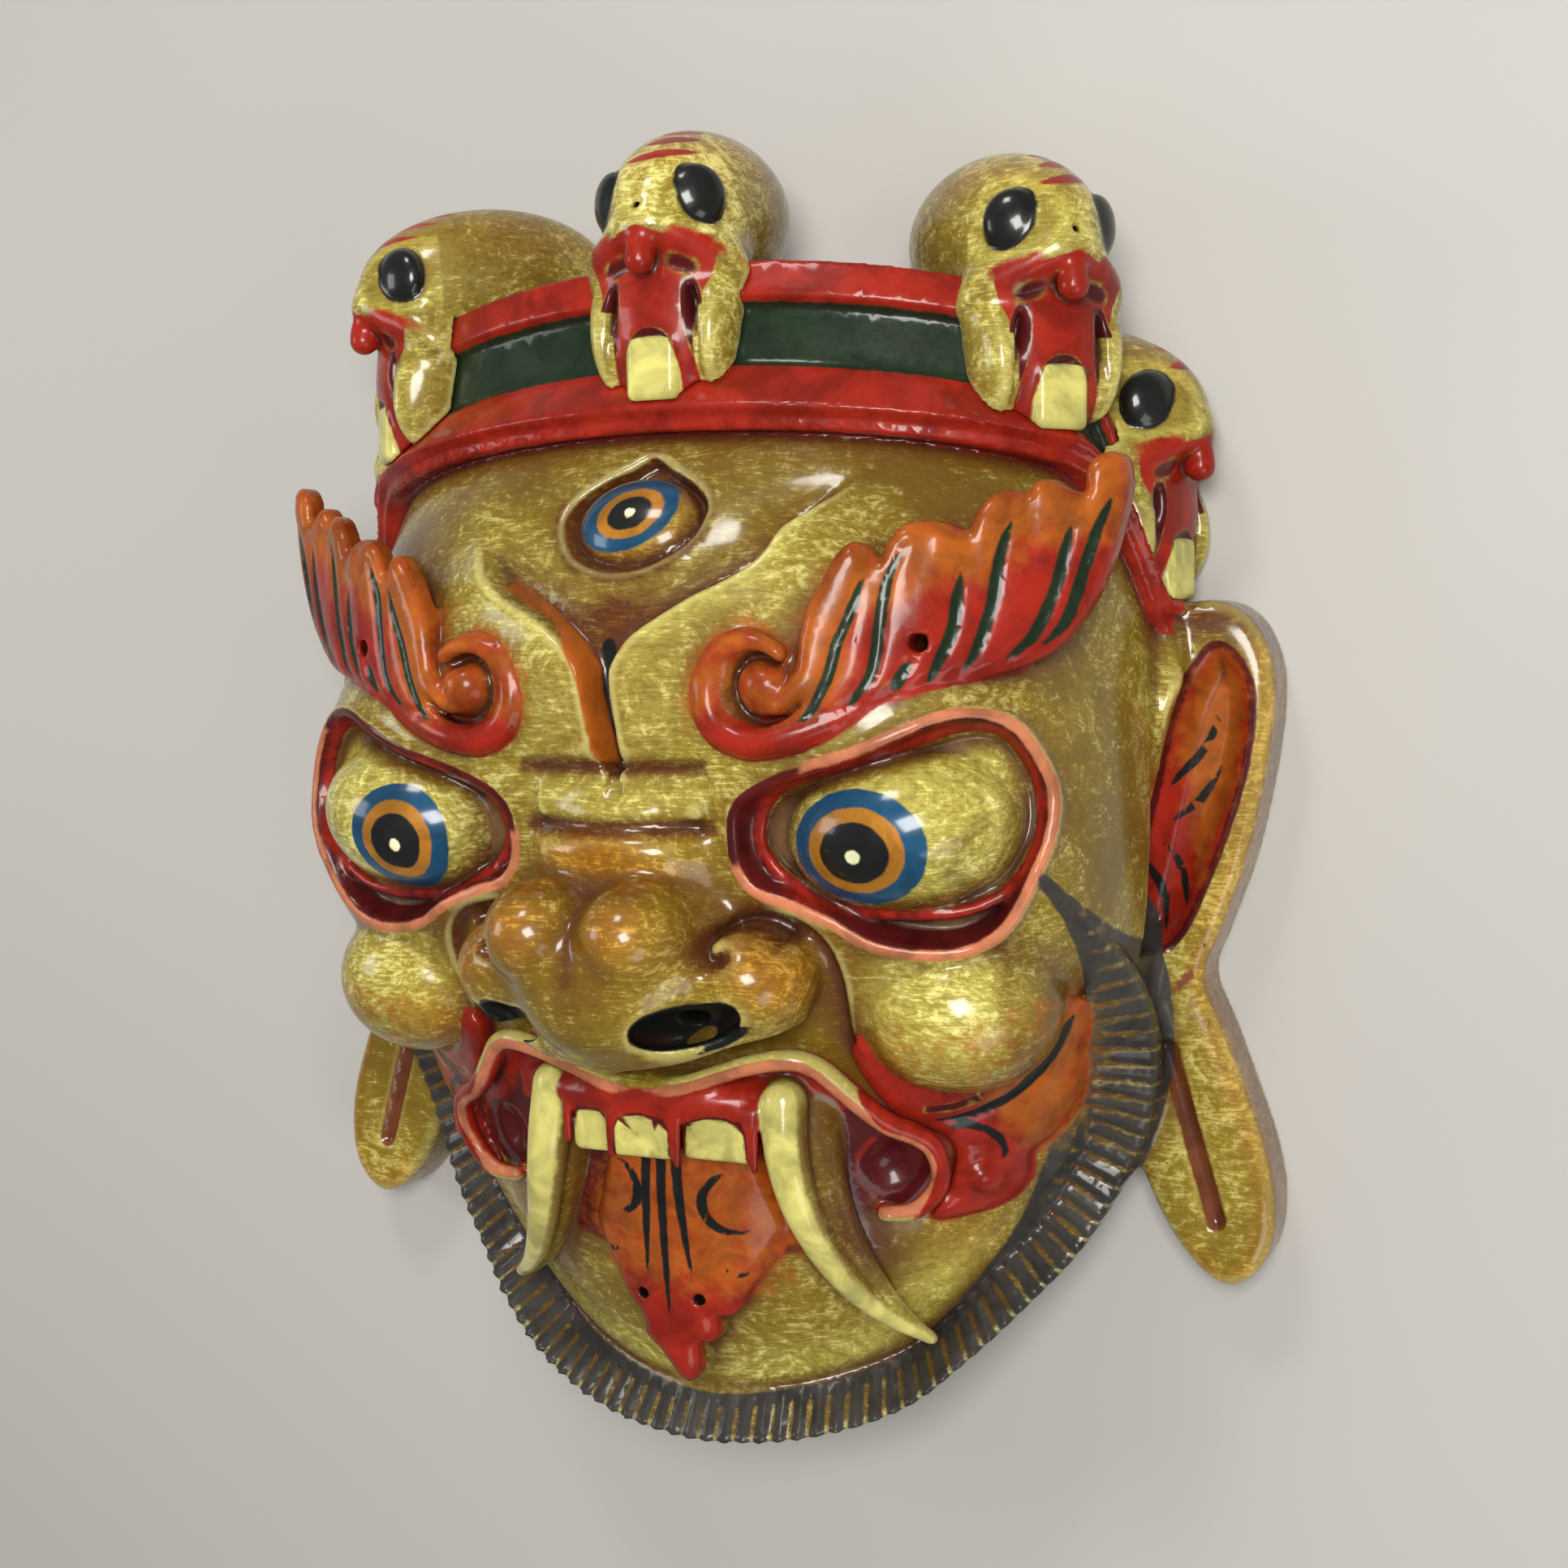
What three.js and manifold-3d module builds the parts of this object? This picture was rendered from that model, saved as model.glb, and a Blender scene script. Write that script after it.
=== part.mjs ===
// A carved and painted wooden mask of the wrathful guardian Mahakala, lying on its open back.
// Millimetres. +X is the viewer's right, +Y the top of the head, +Z the way the face looks.
// The rim of the hollow back lies on the plane z = 0.
import * as THREE from "three";
import { mergeVertices } from "three/addons/utils/BufferGeometryUtils.js";
import Module from "manifold-3d";

const wasm = await Module();
wasm.setup();

// Driving dimensions
const maskHeight = 434; // from the beard's lower edge to the top of the middle skull
const wall = 16; // of the hollow head
const crownLip = 6; // the crown's stripes, from its lower edge up
const crownSkirt = 15;
const crownBand = 20;
const crownTop = 13;
const crownWall = 36;
const stripeStep = 4; // how far one stripe of the crown stands over the next
const beardWidth = 20;
const beardGroove = 3.6;
const earThickness = 27;
const conchaDepth = 8;
const lobeSlotWidth = 6;
const browThickness = 9;
const browHole = 5.5;
const lidThickness = 6.5;
const lipThickness = 8;
const toothHeight = 14;
const tongueThickness = 8;
const tongueHole = 3.5;
const leafThickness = 6;
const furrowDepth = 3;
const nostrilWidth = 26; // across the flared opening, half as much up and down
const skullWidth = 50;
const skullHeight = 56;
const skullLength = 92;
const skullFit = 0.3; // gap between a skull and the crown it is nailed to
const nailHole = 2.4;

// The head was drawn at this height, so every drawn point follows maskHeight.
const drawnHeight = 434;
const drawn = maskHeight / drawnHeight;
const real = (size) => size / drawn;

// The plain form of the head: half its width, its depth and how square its section is, by height.
const headStations = [
  [-214, 26, 56, 2.0], [-205, 46, 68, 2.0], [-195, 66, 76, 2.0], [-180, 85, 84, 2.0],
  [-160, 101, 92, 2.0], [-140, 116, 97, 1.95], [-115, 131, 102, 1.85], [-88, 139, 110, 1.9],
  [-55, 142, 120, 2.6], [-35, 143, 126, 4.0], [-7, 144, 131, 5.0], [20, 144, 137, 4.0],
  [50, 143, 141, 2.6], [80, 141, 128, 2.4], [105, 137, 111, 2.3], [120, 133, 98, 2.2],
  [150, 122, 82, 2.2], [172, 114, 68, 2.2],
];
const headBottom = headStations[0][0];
const headTop = headStations.at(-1)[0];

const V = (x, y, z) => new THREE.Vector3(x, y, z);

function headSection(y) {
  const last = headStations.length - 1;
  let i = headStations.findIndex((station) => station[0] > y) - 1;
  if (i < 0) i = y < headBottom ? 0 : last - 1;
  const [lower, upper] = [headStations[i], headStations[i + 1]];
  const share = THREE.MathUtils.clamp((y - lower[0]) / (upper[0] - lower[0]), 0, 1);
  const [halfWidth, depth, power] = [1, 2, 3].map((k) => THREE.MathUtils.lerp(lower[k], upper[k], share));
  return { halfWidth, depth, power };
}

// Height of the plain head over the rim at a drawn place
function headZ(x, y) {
  const { halfWidth, depth, power } = headSection(y);
  const across = Math.min(Math.abs(x) / halfWidth, 1);
  return depth * (1 - across ** power) ** (1 / power);
}

const onHead = (x, y, lift = 0) => V(x, y, headZ(x, y) + lift);

// Skins rings of points into one closed body; a closed loft joins its last ring to its first.
function loft(rings, closed = false) {
  const count = rings[0].length;
  const positions = rings.flat().flatMap((point) => point.toArray());
  const index = [];
  const steps = closed ? rings.length : rings.length - 1;
  for (let i = 0; i < steps; i += 1) {
    const here = i * count;
    const next = ((i + 1) % rings.length) * count;
    for (let j = 0; j < count; j += 1) {
      const k = (j + 1) % count;
      index.push(here + j, here + k, next + k, here + j, next + k, next + j);
    }
  }
  if (!closed) {
    [[rings[0], 0, true], [rings.at(-1), (rings.length - 1) * count, false]].forEach(([ring, start, first]) => {
      const middle = ring.reduce((sum, point) => sum.add(point), V(0, 0, 0)).divideScalar(count);
      const hub = positions.length / 3;
      positions.push(...middle.toArray());
      for (let j = 0; j < count; j += 1) {
        const k = (j + 1) % count;
        if (first) index.push(hub, start + k, start + j);
        else index.push(hub, start + j, start + k);
      }
    });
  }
  const geometry = new THREE.BufferGeometry();
  geometry.setAttribute("position", new THREE.Float32BufferAttribute(positions, 3));
  geometry.setIndex(index);
  return geometry;
}

function signedVolume(positions, index) {
  const [a, b, c] = [V(0, 0, 0), V(0, 0, 0), V(0, 0, 0)];
  let volume = 0;
  for (let i = 0; i < index.length; i += 3) {
    a.fromArray(positions, index[i] * 3);
    b.fromArray(positions, index[i + 1] * 3);
    c.fromArray(positions, index[i + 2] * 3);
    volume += a.dot(b.cross(c)) / 6;
  }
  return volume;
}

// Turns a closed geometry into a solid that can be joined and cut
function solid(geometry) {
  const bare = geometry.clone();
  bare.deleteAttribute("normal");
  bare.deleteAttribute("uv");
  const merged = mergeVertices(bare, 1e-4);
  const vertProperties = new Float32Array(merged.attributes.position.array);
  const triVerts = new Uint32Array(merged.index.array);
  if (signedVolume(vertProperties, triVerts) < 0) {
    for (let i = 0; i < triVerts.length; i += 3) [triVerts[i], triVerts[i + 1]] = [triVerts[i + 1], triVerts[i]];
  }
  return new wasm.Manifold(new wasm.Mesh({ numProp: 3, vertProperties, triVerts }));
}

const join = (geometries) => geometries.map(solid).reduce((whole, piece) => whole.add(piece));
const mirror = (geometry) => geometry.clone().applyMatrix4(new THREE.Matrix4().makeScale(-1, 1, 1));
const bothSides = (geometries) => geometries.flatMap((geometry) => [geometry, mirror(geometry)]);

function toGeometry(body) {
  const { vertProperties, triVerts } = body.getMesh();
  const geometry = new THREE.BufferGeometry();
  geometry.setAttribute("position", new THREE.BufferAttribute(vertProperties.slice(), 3));
  geometry.setIndex(new THREE.BufferAttribute(triVerts.slice(), 1));
  return geometry;
}

// An egg shape, turned by Euler angles in degrees
function egg(centre, radii, turn = [0, 0, 0], around = 8, rows = 5) {
  const geometry = new THREE.SphereGeometry(1, around, rows);
  const angles = new THREE.Euler(...turn.map(THREE.MathUtils.degToRad));
  const placed = new THREE.Matrix4().compose(centre, new THREE.Quaternion().setFromEuler(angles), V(...radii));
  return geometry.applyMatrix4(placed);
}

// A round rod along points, with its radius by share of the length
function rod(points, radius, steps, sides = 6, closed = false) {
  const curve = new THREE.CatmullRomCurve3(points, closed, "centripetal");
  const frames = curve.computeFrenetFrames(steps, closed);
  const rings = [];
  for (let i = 0; i < (closed ? steps : steps + 1); i += 1) {
    const middle = curve.getPointAt(i / steps);
    const size = typeof radius === "function" ? radius(i / steps) : radius;
    rings.push(Array.from({ length: sides }, (_, j) => {
      const angle = (j / sides) * 2 * Math.PI;
      return middle.clone()
        .addScaledVector(frames.normals[i], size * Math.cos(angle))
        .addScaledVector(frames.binormals[i], size * Math.sin(angle));
    }));
  }
  return loft(rings, closed);
}

// A crowned slab between two edge lines, such as a brow, a tongue or a leaf
function slab(edgeA, edgeB, thickness, sink, steps) {
  const [a, b] = [edgeA, edgeB].map((points) => new THREE.CatmullRomCurve3(points, false, "centripetal"));
  const rings = [];
  for (let i = 0; i <= steps; i += 1) {
    const [pa, pb] = [a.getPoint(i / steps), b.getPoint(i / steps)];
    const along = a.getTangent(i / steps).add(b.getTangent(i / steps));
    const out = pb.clone().sub(pa).cross(along).normalize();
    if (out.z < 0) out.negate();
    const between = (share, lift) => pa.clone().lerp(pb, share).addScaledVector(out, lift);
    rings.push([
      between(0, -sink), between(0, thickness * 0.6), between(0.25, thickness),
      between(0.75, thickness), between(1, thickness * 0.6), between(1, -sink),
    ]);
  }
  return loft(rings);
}

// Head: one hollow block, closed at the crown and open at the back
const underRim = 12; // the head's forms run on below the rim before they are cut flat
const headArc = 12;
const heightsBetween = (bottom, top, rows) => (
  Array.from({ length: rows + 1 }, (_, i) => THREE.MathUtils.lerp(bottom, top, i / rows))
);

function headLoft(inset, heights, arc) {
  const rings = heights.map((y) => {
    const { halfWidth, depth, power } = headSection(y);
    const [w, d] = [halfWidth - inset, depth - inset];
    const ring = [V(w, y, -underRim)];
    for (let j = 0; j <= arc; j += 1) {
      const angle = (j / arc) * Math.PI;
      const across = Math.sign(Math.cos(angle)) * Math.abs(Math.cos(angle)) ** (2 / power);
      ring.push(V(w * across, y, d * Math.sin(angle) ** (2 / power)));
    }
    ring.push(V(-w, y, -underRim));
    return ring;
  });
  return loft(rings);
}

const drawnWall = real(wall);
const hollowBottom = headBottom + drawnWall + 10;
const hollow = headLoft(drawnWall, heightsBetween(hollowBottom, headTop - drawnWall, 8), 8);
const headHeights = heightsBetween(headBottom, headTop, 13);
const head = headLoft(0, headHeights, headArc);

// Crown: striped band round the brow, from ear to ear
const crownRadiusX = 146;
const crownRadiusZ = 77;
const crownCentreZ = 27;
const crownFront = 121;
const crownSteps = 16;
const crownReach = 104; // degrees each side of the middle

function crownPlace(degrees) {
  const angle = THREE.MathUtils.degToRad(degrees);
  const turned = Math.abs(degrees);
  const rise = 14 * Math.min(turned / 60, 1) ** 2;
  const fall = 50 * THREE.MathUtils.smoothstep(turned, 58, 88);
  return {
    foot: V(crownRadiusX * Math.sin(angle), crownFront - rise - fall, crownCentreZ + crownRadiusZ * Math.cos(angle)),
    out: V(Math.sin(angle) / crownRadiusX, 0, Math.cos(angle) / crownRadiusZ).normalize(),
  };
}

function crown(swell) {
  const step = real(stripeStep);
  const heights = [crownLip, crownSkirt, crownBand, crownTop].map((size) => real(size));
  const [lip, skirt, band] = [0, 1, 2].map((k) => heights.slice(0, k + 1).reduce((sum, size) => sum + size));
  const top = band + heights[3];
  const inner = real(-crownWall);
  const profile = [
    [inner - swell, -swell], [swell, -swell], [swell, lip - swell], [step + swell, lip - swell],
    [swell - 2.2 * step, skirt + swell], [swell - 3.2 * step, band - swell], [swell - 2.1 * step, band - swell],
    [swell - 3 * step, top + swell], [inner - swell, top + swell],
  ];
  const rings = [];
  for (let i = 0; i <= crownSteps; i += 1) {
    const { foot, out } = crownPlace(THREE.MathUtils.lerp(-crownReach, crownReach, i / crownSteps));
    rings.push(profile.map(([r, t]) => foot.clone().addScaledVector(out, r).add(V(0, t, 0))));
  }
  return loft(rings);
}

// Beard: a grooved flange round the jaw, solid down to the rim
const beardEdge = [
  [126, -14, 112], [135, -30, 92], [142, -50, 64], [145, -72, 46], [143, -95, 38], [136, -116, 35],
  [121, -144, 43], [104, -164, 53], [86, -182, 65], [66, -198, 72], [36, -208, 82], [0, -212, 86],
];
const beardSteps = 40;

function beard() {
  const half = beardEdge.map((point) => V(...point));
  const other = half.slice(0, -1).reverse().map((point) => V(-point.x, point.y, point.z));
  const curve = new THREE.CatmullRomCurve3([...half, ...other], false, "centripetal");
  const middle = V(0, -60, 0);
  const rings = [];
  for (let i = 0; i <= beardSteps; i += 1) {
    const edge = curve.getPointAt(i / beardSteps);
    const inward = middle.clone().sub(edge).setZ(0).normalize();
    const taper = THREE.MathUtils.smoothstep(Math.min(i, beardSteps - i), -2, 7);
    const width = (real(beardWidth)) * taper;
    const groove = i % 2 ? real(beardGroove) : 0;
    const inner = edge.clone().addScaledVector(inward, width);
    inner.z = Math.max(headZ(inner.x, inner.y) + 1.5, edge.z - 2);
    const foot = edge.clone().addScaledVector(inward, 5);
    const bed = inner.clone().addScaledVector(inward, 6);
    rings.push([
      V(foot.x, foot.y, -underRim), foot.clone().setZ(Math.max(edge.z - 12, 2)),
      edge.clone().setZ(edge.z - 6 - groove), edge.clone().setZ(edge.z - groove),
      inner.setZ(inner.z - groove), V(bed.x, bed.y, -underRim),
    ]);
  }
  return loft(rings);
}

// Ears: long, with a painted hollow and a slotted lobe
const earOutline = [
  [128, 60], [147, 65], [161, 66], [172, 59], [178, 43], [177, 20], [170, -15], [161, -41], [156, -57],
  [164, -78], [177, -115], [179, -138], [174, -152], [163, -158], [149, -147], [137, -125],
  [134, -100], [134, -70], [130, -20],
];
const conchaOutline = [
  [160, 52], [171, 40], [170, 15], [161, -15], [149, -42], [140, -47], [132, -40], [136, -18], [142, 8], [149, 35],
];
const lobeSlot = [V(145, -80, 0), V(161, -136, 0)];

function outlineSlab(points, from, to, divisions) {
  const curve = new THREE.CatmullRomCurve3(points.map(([x, y]) => V(x, y, 0)), true, "centripetal");
  const shape = new THREE.Shape(curve.getPoints(divisions).slice(0, -1).map(({ x, y }) => new THREE.Vector2(x, y)));
  const geometry = new THREE.ExtrudeGeometry(shape, { depth: to - from, bevelEnabled: false });
  return geometry.translate(0, 0, from);
}

const earFront = real(earThickness);
const ear = outlineSlab(earOutline, -underRim, earFront, 28);
const concha = outlineSlab(conchaOutline, earFront - real(conchaDepth), earFront + underRim, 16);
const slotRadius = real(lobeSlotWidth) / 2;
const lobeGroove = rod(lobeSlot.map((point) => point.clone().setZ(earFront)), slotRadius, 2);
const tragus = rod([V(143, 54, 26), V(147, 30, 33), V(143, 8, 26)], 6, 4, 5);

// Brows: flaming leaves with a scroll at the inner end, their tips clear of the head
const browLower = [
  [44, 27, 133], [62, 27, 133], [80, 33, 130], [97, 42, 122], [113, 52, 110], [127, 66, 99], [138, 84, 94], [145, 105, 90],
];
const browUpper = [
  [56, 49, 138], [61, 66, 132], [72, 84, 124], [88, 91, 116], [103, 97, 108], [119, 105, 100], [133, 111, 94], [144, 109, 90],
];
const browScallops = 7;
const browScroll = V(50, 41, 136);

function brow() {
  const lower = browLower.map((point) => V(...point));
  const upper = browUpper.map((point) => V(...point));
  const waved = new THREE.CatmullRomCurve3(upper, false, "centripetal").getPoints(2 * browScallops);
  waved.forEach((point, i) => point.add(V(0, i % 2 ? 2.5 : -1.5, 0)));
  const leaf = slab(lower, waved, real(browThickness), 7, 2 * browScallops);
  const turns = [];
  for (let i = 0; i <= 9; i += 1) {
    const angle = THREE.MathUtils.degToRad(-75 - 56 * i);
    const reach = 13.5 - 1.15 * i;
    turns.push(browScroll.clone().add(V(reach * Math.cos(angle), reach * Math.sin(angle), i * 0.5)));
  }
  return [leaf, rod(turns, (share) => 6.2 - 2 * share, 12, 4), egg(browScroll.clone().add(V(2, -4, -1)), [17, 17, 10])];
}

const browHolePlace = V(96, 54, 128);
const browBore = rod([browHolePlace.clone().setZ(124), browHolePlace.clone().setZ(150)], real(browHole) / 2, 1, 8);

// Eyes: a deep socket with a rolled lid round a bulging ball
const lidLine = [
  [36, 0], [56, 18], [86, 29], [110, 35], [125, 28], [132, 6], [129, -15], [117, -32], [97, -38], [74, -35], [52, -22], [39, -10],
];
const eyeSocket = egg(V(83, -2, 132), [47, 34, 15], [0, 12, 8], 12, 5);
const eyeBall = egg(V(83, -3, 104), [38, 28, 36], [0, 8, 8], 12, 6);
const lid = rod(lidLine.map(([x, y]) => onHead(x, y, -1)), real(lidThickness) / 2, 14, 4, true);

const thirdEyeSocket = egg(onHead(-1, 94, 3), [25, 20, 10], [-22, 0, 0], 12, 6);
const thirdEyePoint = rod([onHead(-1, 104, 1), onHead(0, 118, 3)], (share) => 11 - 10 * share, 3);
const thirdEyeBall = egg(onHead(-1, 93, -7), [19, 16, 13], [-22, 0, 0], 12, 7);

// Nose, cheeks and the pad between the eyes
const pad = egg(V(2, 9, 128), [30, 10.5, 16], [0, 0, 0], 10, 6);
const nose = [
  egg(V(0, -14, 126), [27, 24, 20]), egg(V(0, -43, 130), [42, 25, 32], [0, 0, 0], 12, 7),
];
const noseHalf = [egg(V(14, -31, 150), [15, 16, 19]), egg(V(44, -46, 126), [22, 18, 22])];
const cheek = egg(V(96, -58, 92), [31, 26, 29], [0, 20, 0], 10, 6);
const nostrilPlace = V(28, -62, 144);
const nostrilMouth = egg(nostrilPlace, [real(nostrilWidth) / 2, real(nostrilWidth) / 4, 16], [-25, 0, 14], 10, 6);
const nostril = rod([nostrilPlace, V(24, -50, 118), V(20, -42, 92)], real(nostrilWidth) / 5, 4);

// Furrows of the forehead
const furrowLines = [
  [[69, 107], [53, 91], [29, 72], [13, 60], [4, 50], [2, 22]],
  [[-51, 84], [-44, 74], [-32, 69], [-18, 60], [-6, 48], [-4, 30]],
];
const furrows = furrowLines.map((line) => rod(line.map(([x, y]) => onHead(x, y, 0.5)), real(furrowDepth), 6, 4));

// Mouth: rolled lips, gum and teeth, fangs, tongue and the leaf scrolls at its corners
const lipLine = [
  [0, -85, 118], [18, -83, 119], [36, -76, 118], [48, -74, 116], [58, -79, 111], [66, -90, 103], [77, -99, 95], [86, -107, 87],
];
const lipCurl = [[84, -119, 82], [76, -126, 84], [68, -127, 86]];
const lipHalf = [...lipLine, ...lipCurl].map((point) => V(...point));
const lipOther = lipHalf.slice(1).reverse().map((point) => V(-point.x, point.y, point.z));
const lips = rod([...lipOther, ...lipHalf], real(lipThickness) / 2, 22, 4);
const mouthHollow = egg(V(0, -119, 116), [64, 27, 25], [10, 0, 0], 14, 7);
const gum = egg(V(0, -90, 98), [48, 12, 20], [0, 0, 0], 10, 5);
const fangLine = [V(36, -90, 110), V(40, -112, 112), V(48, -136, 102), V(60, -156, 88), V(77, -170, 67)];
const fang = rod(fangLine, (share) => 8.5 - 6.5 * share, 6, 6);
const teethBottom = -109;
const teethFront = 122;
const toothWidth = 19;
const toothPlaces = [-21.5, 0, 21.5];
const tooth = (x) => {
  const height = real(toothHeight);
  const block = new THREE.BoxGeometry(toothWidth, height, 26).rotateY(THREE.MathUtils.degToRad(x));
  return block.translate(x, teethBottom + height / 2, teethFront - 13 - Math.abs(x) / 6);
};
const tongueEdge = [
  [-28, -106, 108], [-34, -122, 106], [-35, -138, 103], [-27, -153, 100], [-16, -164, 99], [-9, -178, 97], [-3, -188, 94],
];
const tongueSide = (side) => tongueEdge.map(([x, y, z]) => V(1 - side * x, y, z - 4));
const tongue = slab(tongueSide(-1), tongueSide(1), real(tongueThickness), 17, 8);
const tonguePits = [-11, 11].map((x) => rod([V(1 + x, -157, 98), V(1 + x, -157, 115)], real(tongueHole) / 2, 1));
const leafInner = [[68, -80, 100], [78, -98, 86], [84, -114, 74], [84, -130, 68]];
const leafOuter = [[112, -70, 84], [120, -84, 64], [117, -103, 54], [104, -123, 56]];
const leaf = slab(leafInner.map((p) => V(...p)), leafOuter.map((p) => V(...p)), real(leafThickness), 9, 8);
const leafBall = egg(V(94, -117, 64), [9, 9, 9], [0, 0, 0], 8, 6);

// Everything below the rim is cut away, so the back lies flat.
const floorBlock = new THREE.BoxGeometry(600, 600, 4 * underRim).translate(0, 0, -2 * underRim);

function maskSolid() {
  const outside = join([
    head, crown(0), beard(), pad, ...nose,
    ...bothSides([...noseHalf, cheek, ear, tragus, leaf, leafBall, ...brow()]),
  ]);
  const cuts = join([
    hollow, mouthHollow, thirdEyeSocket, thirdEyePoint, ...furrows,
    ...bothSides([eyeSocket, concha, lobeGroove, browBore]),
  ]);
  const fillings = join([
    thirdEyeBall, gum, lips, tongue, ...toothPlaces.map(tooth), ...bothSides([eyeBall, lid, fang]),
  ]);
  const pits = join([...bothSides([nostrilMouth, nostril]), ...tonguePits, floorBlock]);
  return outside.subtract(cuts).add(fillings.subtract(solid(hollow))).subtract(pits);
}

// Skulls: five, nailed on the crown. Drawn about the crown's foot: x across, y up, z outward.
const skullFoot = 10;
const skullPlaces = [
  { name: "skull_middle", degrees: 0, facing: 0 },
  { name: "skull_front_right", degrees: 56, facing: 46 },
  { name: "skull_front_left", degrees: -56, facing: -46 },
  { name: "skull_side_right", degrees: 93, facing: 76 },
  { name: "skull_side_left", degrees: -93, facing: -76 },
];

function jaw() {
  const rows = [[0, 12, 3], [14, 15, 4], [34, 21, 6], [52, 24, 5], [64, 22, -4]];
  const rings = rows.map(([up, halfWidth, front]) => Array.from({ length: 8 }, (_, j) => {
    const angle = (j / 8) * 2 * Math.PI;
    const depth = Math.sin(angle) > 0 ? 16 : 24;
    return V(halfWidth * Math.cos(angle), skullFoot + up, front - 16 + depth * Math.sin(angle));
  }));
  return loft(rings);
}

function skullSolid() {
  const radii = [skullWidth / 2, skullHeight / 2, skullLength / 2].map(real);
  const cranium = egg(V(0, 71, 11 - radii[2]), radii, [6, 0, 0], 10, 6);
  const eyes = [-1, 1].map((side) => egg(V(side * 14.5, 68, -3), [9.5, 9.5, 6], [0, side * 35, 0], 8, 3));
  const ridge = rod([V(27, 38, -24), V(25, 53, -9), V(13, 57, 4), V(0, 62, 10)], 3, 4, 4);
  const noseBone = egg(V(0, 52, 6), [5, 7, 7], [0, 0, 0], 6, 3);
  const gap = egg(V(17, 26, 3), [6, 12, 12], [0, 0, 12], 6, 3);
  const arch = egg(V(0, 22, 6), [8, 18, 10], [0, 0, 0], 6, 3);
  const teeth = egg(V(0, 24, -3), [7.4, 14, 8], [0, 0, 0], 6, 3);
  const nail = rod([V(0, 68, 4), V(0, 68, 16)], real(nailHole) / 2, 1, 5);
  const carved = join([cranium, jaw()]).subtract(join([...bothSides([gap]), arch]));
  return carved.add(join([...bothSides([ridge]), noseBone, teeth, ...eyes])).subtract(solid(nail));
}

const paint = (color, roughness) => new THREE.MeshStandardMaterial({ color, roughness, metalness: 0 });
const agedGold = paint(0xa8913a, 0.35);
const bone = paint(0xb09a45, 0.35);

const mask = new THREE.Group();
const maskBody = maskSolid();
const maskMesh = new THREE.Mesh(toGeometry(maskBody), agedGold);
maskMesh.name = "mask";
mask.add(maskMesh);

const fit = real(skullFit);
const roomHeights = [...headHeights.filter((y) => y > 30), headTop + fit];
const crownRoom = join([crown(fit), headLoft(-fit, roomHeights, headArc), floorBlock]);
const skullShape = toGeometry(skullSolid());
skullPlaces.forEach(({ name, degrees, facing }) => {
  const { foot } = crownPlace(degrees);
  const turned = new THREE.Matrix4().makeRotationY(THREE.MathUtils.degToRad(facing)).setPosition(foot);
  const placed = solid(skullShape.clone().applyMatrix4(turned));
  const skull = new THREE.Mesh(toGeometry(placed.subtract(crownRoom)), bone);
  skull.name = name;
  mask.add(skull);
});

mask.scale.setScalar(drawn);
const middleHeight = new THREE.Box3().setFromObject(mask).getCenter(V(0, 0, 0)).y;
mask.position.y = -middleHeight;

export default mask;
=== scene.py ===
# A carved and painted wooden guardian mask, lying on its open back under studio light.
# Each carved block is worked out as distances from its forms, in millimetres, minus inside the wood,
# on the axes of the solids: +X the viewer's right, +Y the top of the head, +Z the way the face looks.
import math

import bpy
import numpy as np
import openvdb
from mathutils import Matrix, Vector


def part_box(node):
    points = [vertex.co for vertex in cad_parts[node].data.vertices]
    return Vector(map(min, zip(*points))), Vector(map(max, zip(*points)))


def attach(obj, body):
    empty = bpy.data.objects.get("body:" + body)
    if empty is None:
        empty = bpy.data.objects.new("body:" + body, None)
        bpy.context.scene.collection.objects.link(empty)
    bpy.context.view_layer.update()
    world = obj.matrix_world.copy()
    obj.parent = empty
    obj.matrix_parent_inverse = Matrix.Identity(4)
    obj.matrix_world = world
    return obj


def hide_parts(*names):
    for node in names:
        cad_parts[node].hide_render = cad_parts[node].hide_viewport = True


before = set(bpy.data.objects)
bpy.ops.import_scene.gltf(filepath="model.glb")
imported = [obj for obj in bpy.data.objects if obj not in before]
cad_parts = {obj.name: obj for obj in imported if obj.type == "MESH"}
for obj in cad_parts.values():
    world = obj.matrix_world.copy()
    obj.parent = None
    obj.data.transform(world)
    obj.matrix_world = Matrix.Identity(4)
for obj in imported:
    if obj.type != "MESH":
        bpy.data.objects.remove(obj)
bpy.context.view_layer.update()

MM = 0.001
FACE_STEP = 1.1
SKULL_STEP = 1.0
FACE_TRIANGLES = 190000
SKULL_TRIANGLES = 60000
HEAD_BOTTOM = -214.0
HEAD_TOP = 175.0
# The solids are centred on Y = 0, so every height drawn here is moved by this much.
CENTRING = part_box("mask")[0][1] / MM - HEAD_BOTTOM

# Plain head by height: half width, depth and squareness of its section
HEAD_STATIONS = np.array([
    (-214, 26, 56, 2.0), (-205, 46, 68, 2.0), (-195, 66, 76, 2.0), (-180, 85, 84, 2.0),
    (-160, 101, 92, 2.0), (-140, 116, 97, 1.95), (-115, 131, 102, 1.85), (-88, 139, 110, 1.9),
    (-55, 142, 120, 2.6), (-35, 143, 126, 4.0), (-7, 144, 131, 5.0), (20, 144, 137, 4.0),
    (50, 143, 141, 2.6), (80, 141, 128, 2.4), (105, 137, 111, 2.3), (120, 133, 98, 2.2),
    (150, 122, 82, 2.2), (172, 114, 68, 2.2),
])
STATION_WEIGHTS = ((-9, 0.12), (-4.5, 0.23), (0, 0.3), (4.5, 0.23), (9, 0.12))
WALL = 16.0
HOLLOW_BOTTOM = -188.0
HOLLOW_TOP = 156.0


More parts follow.
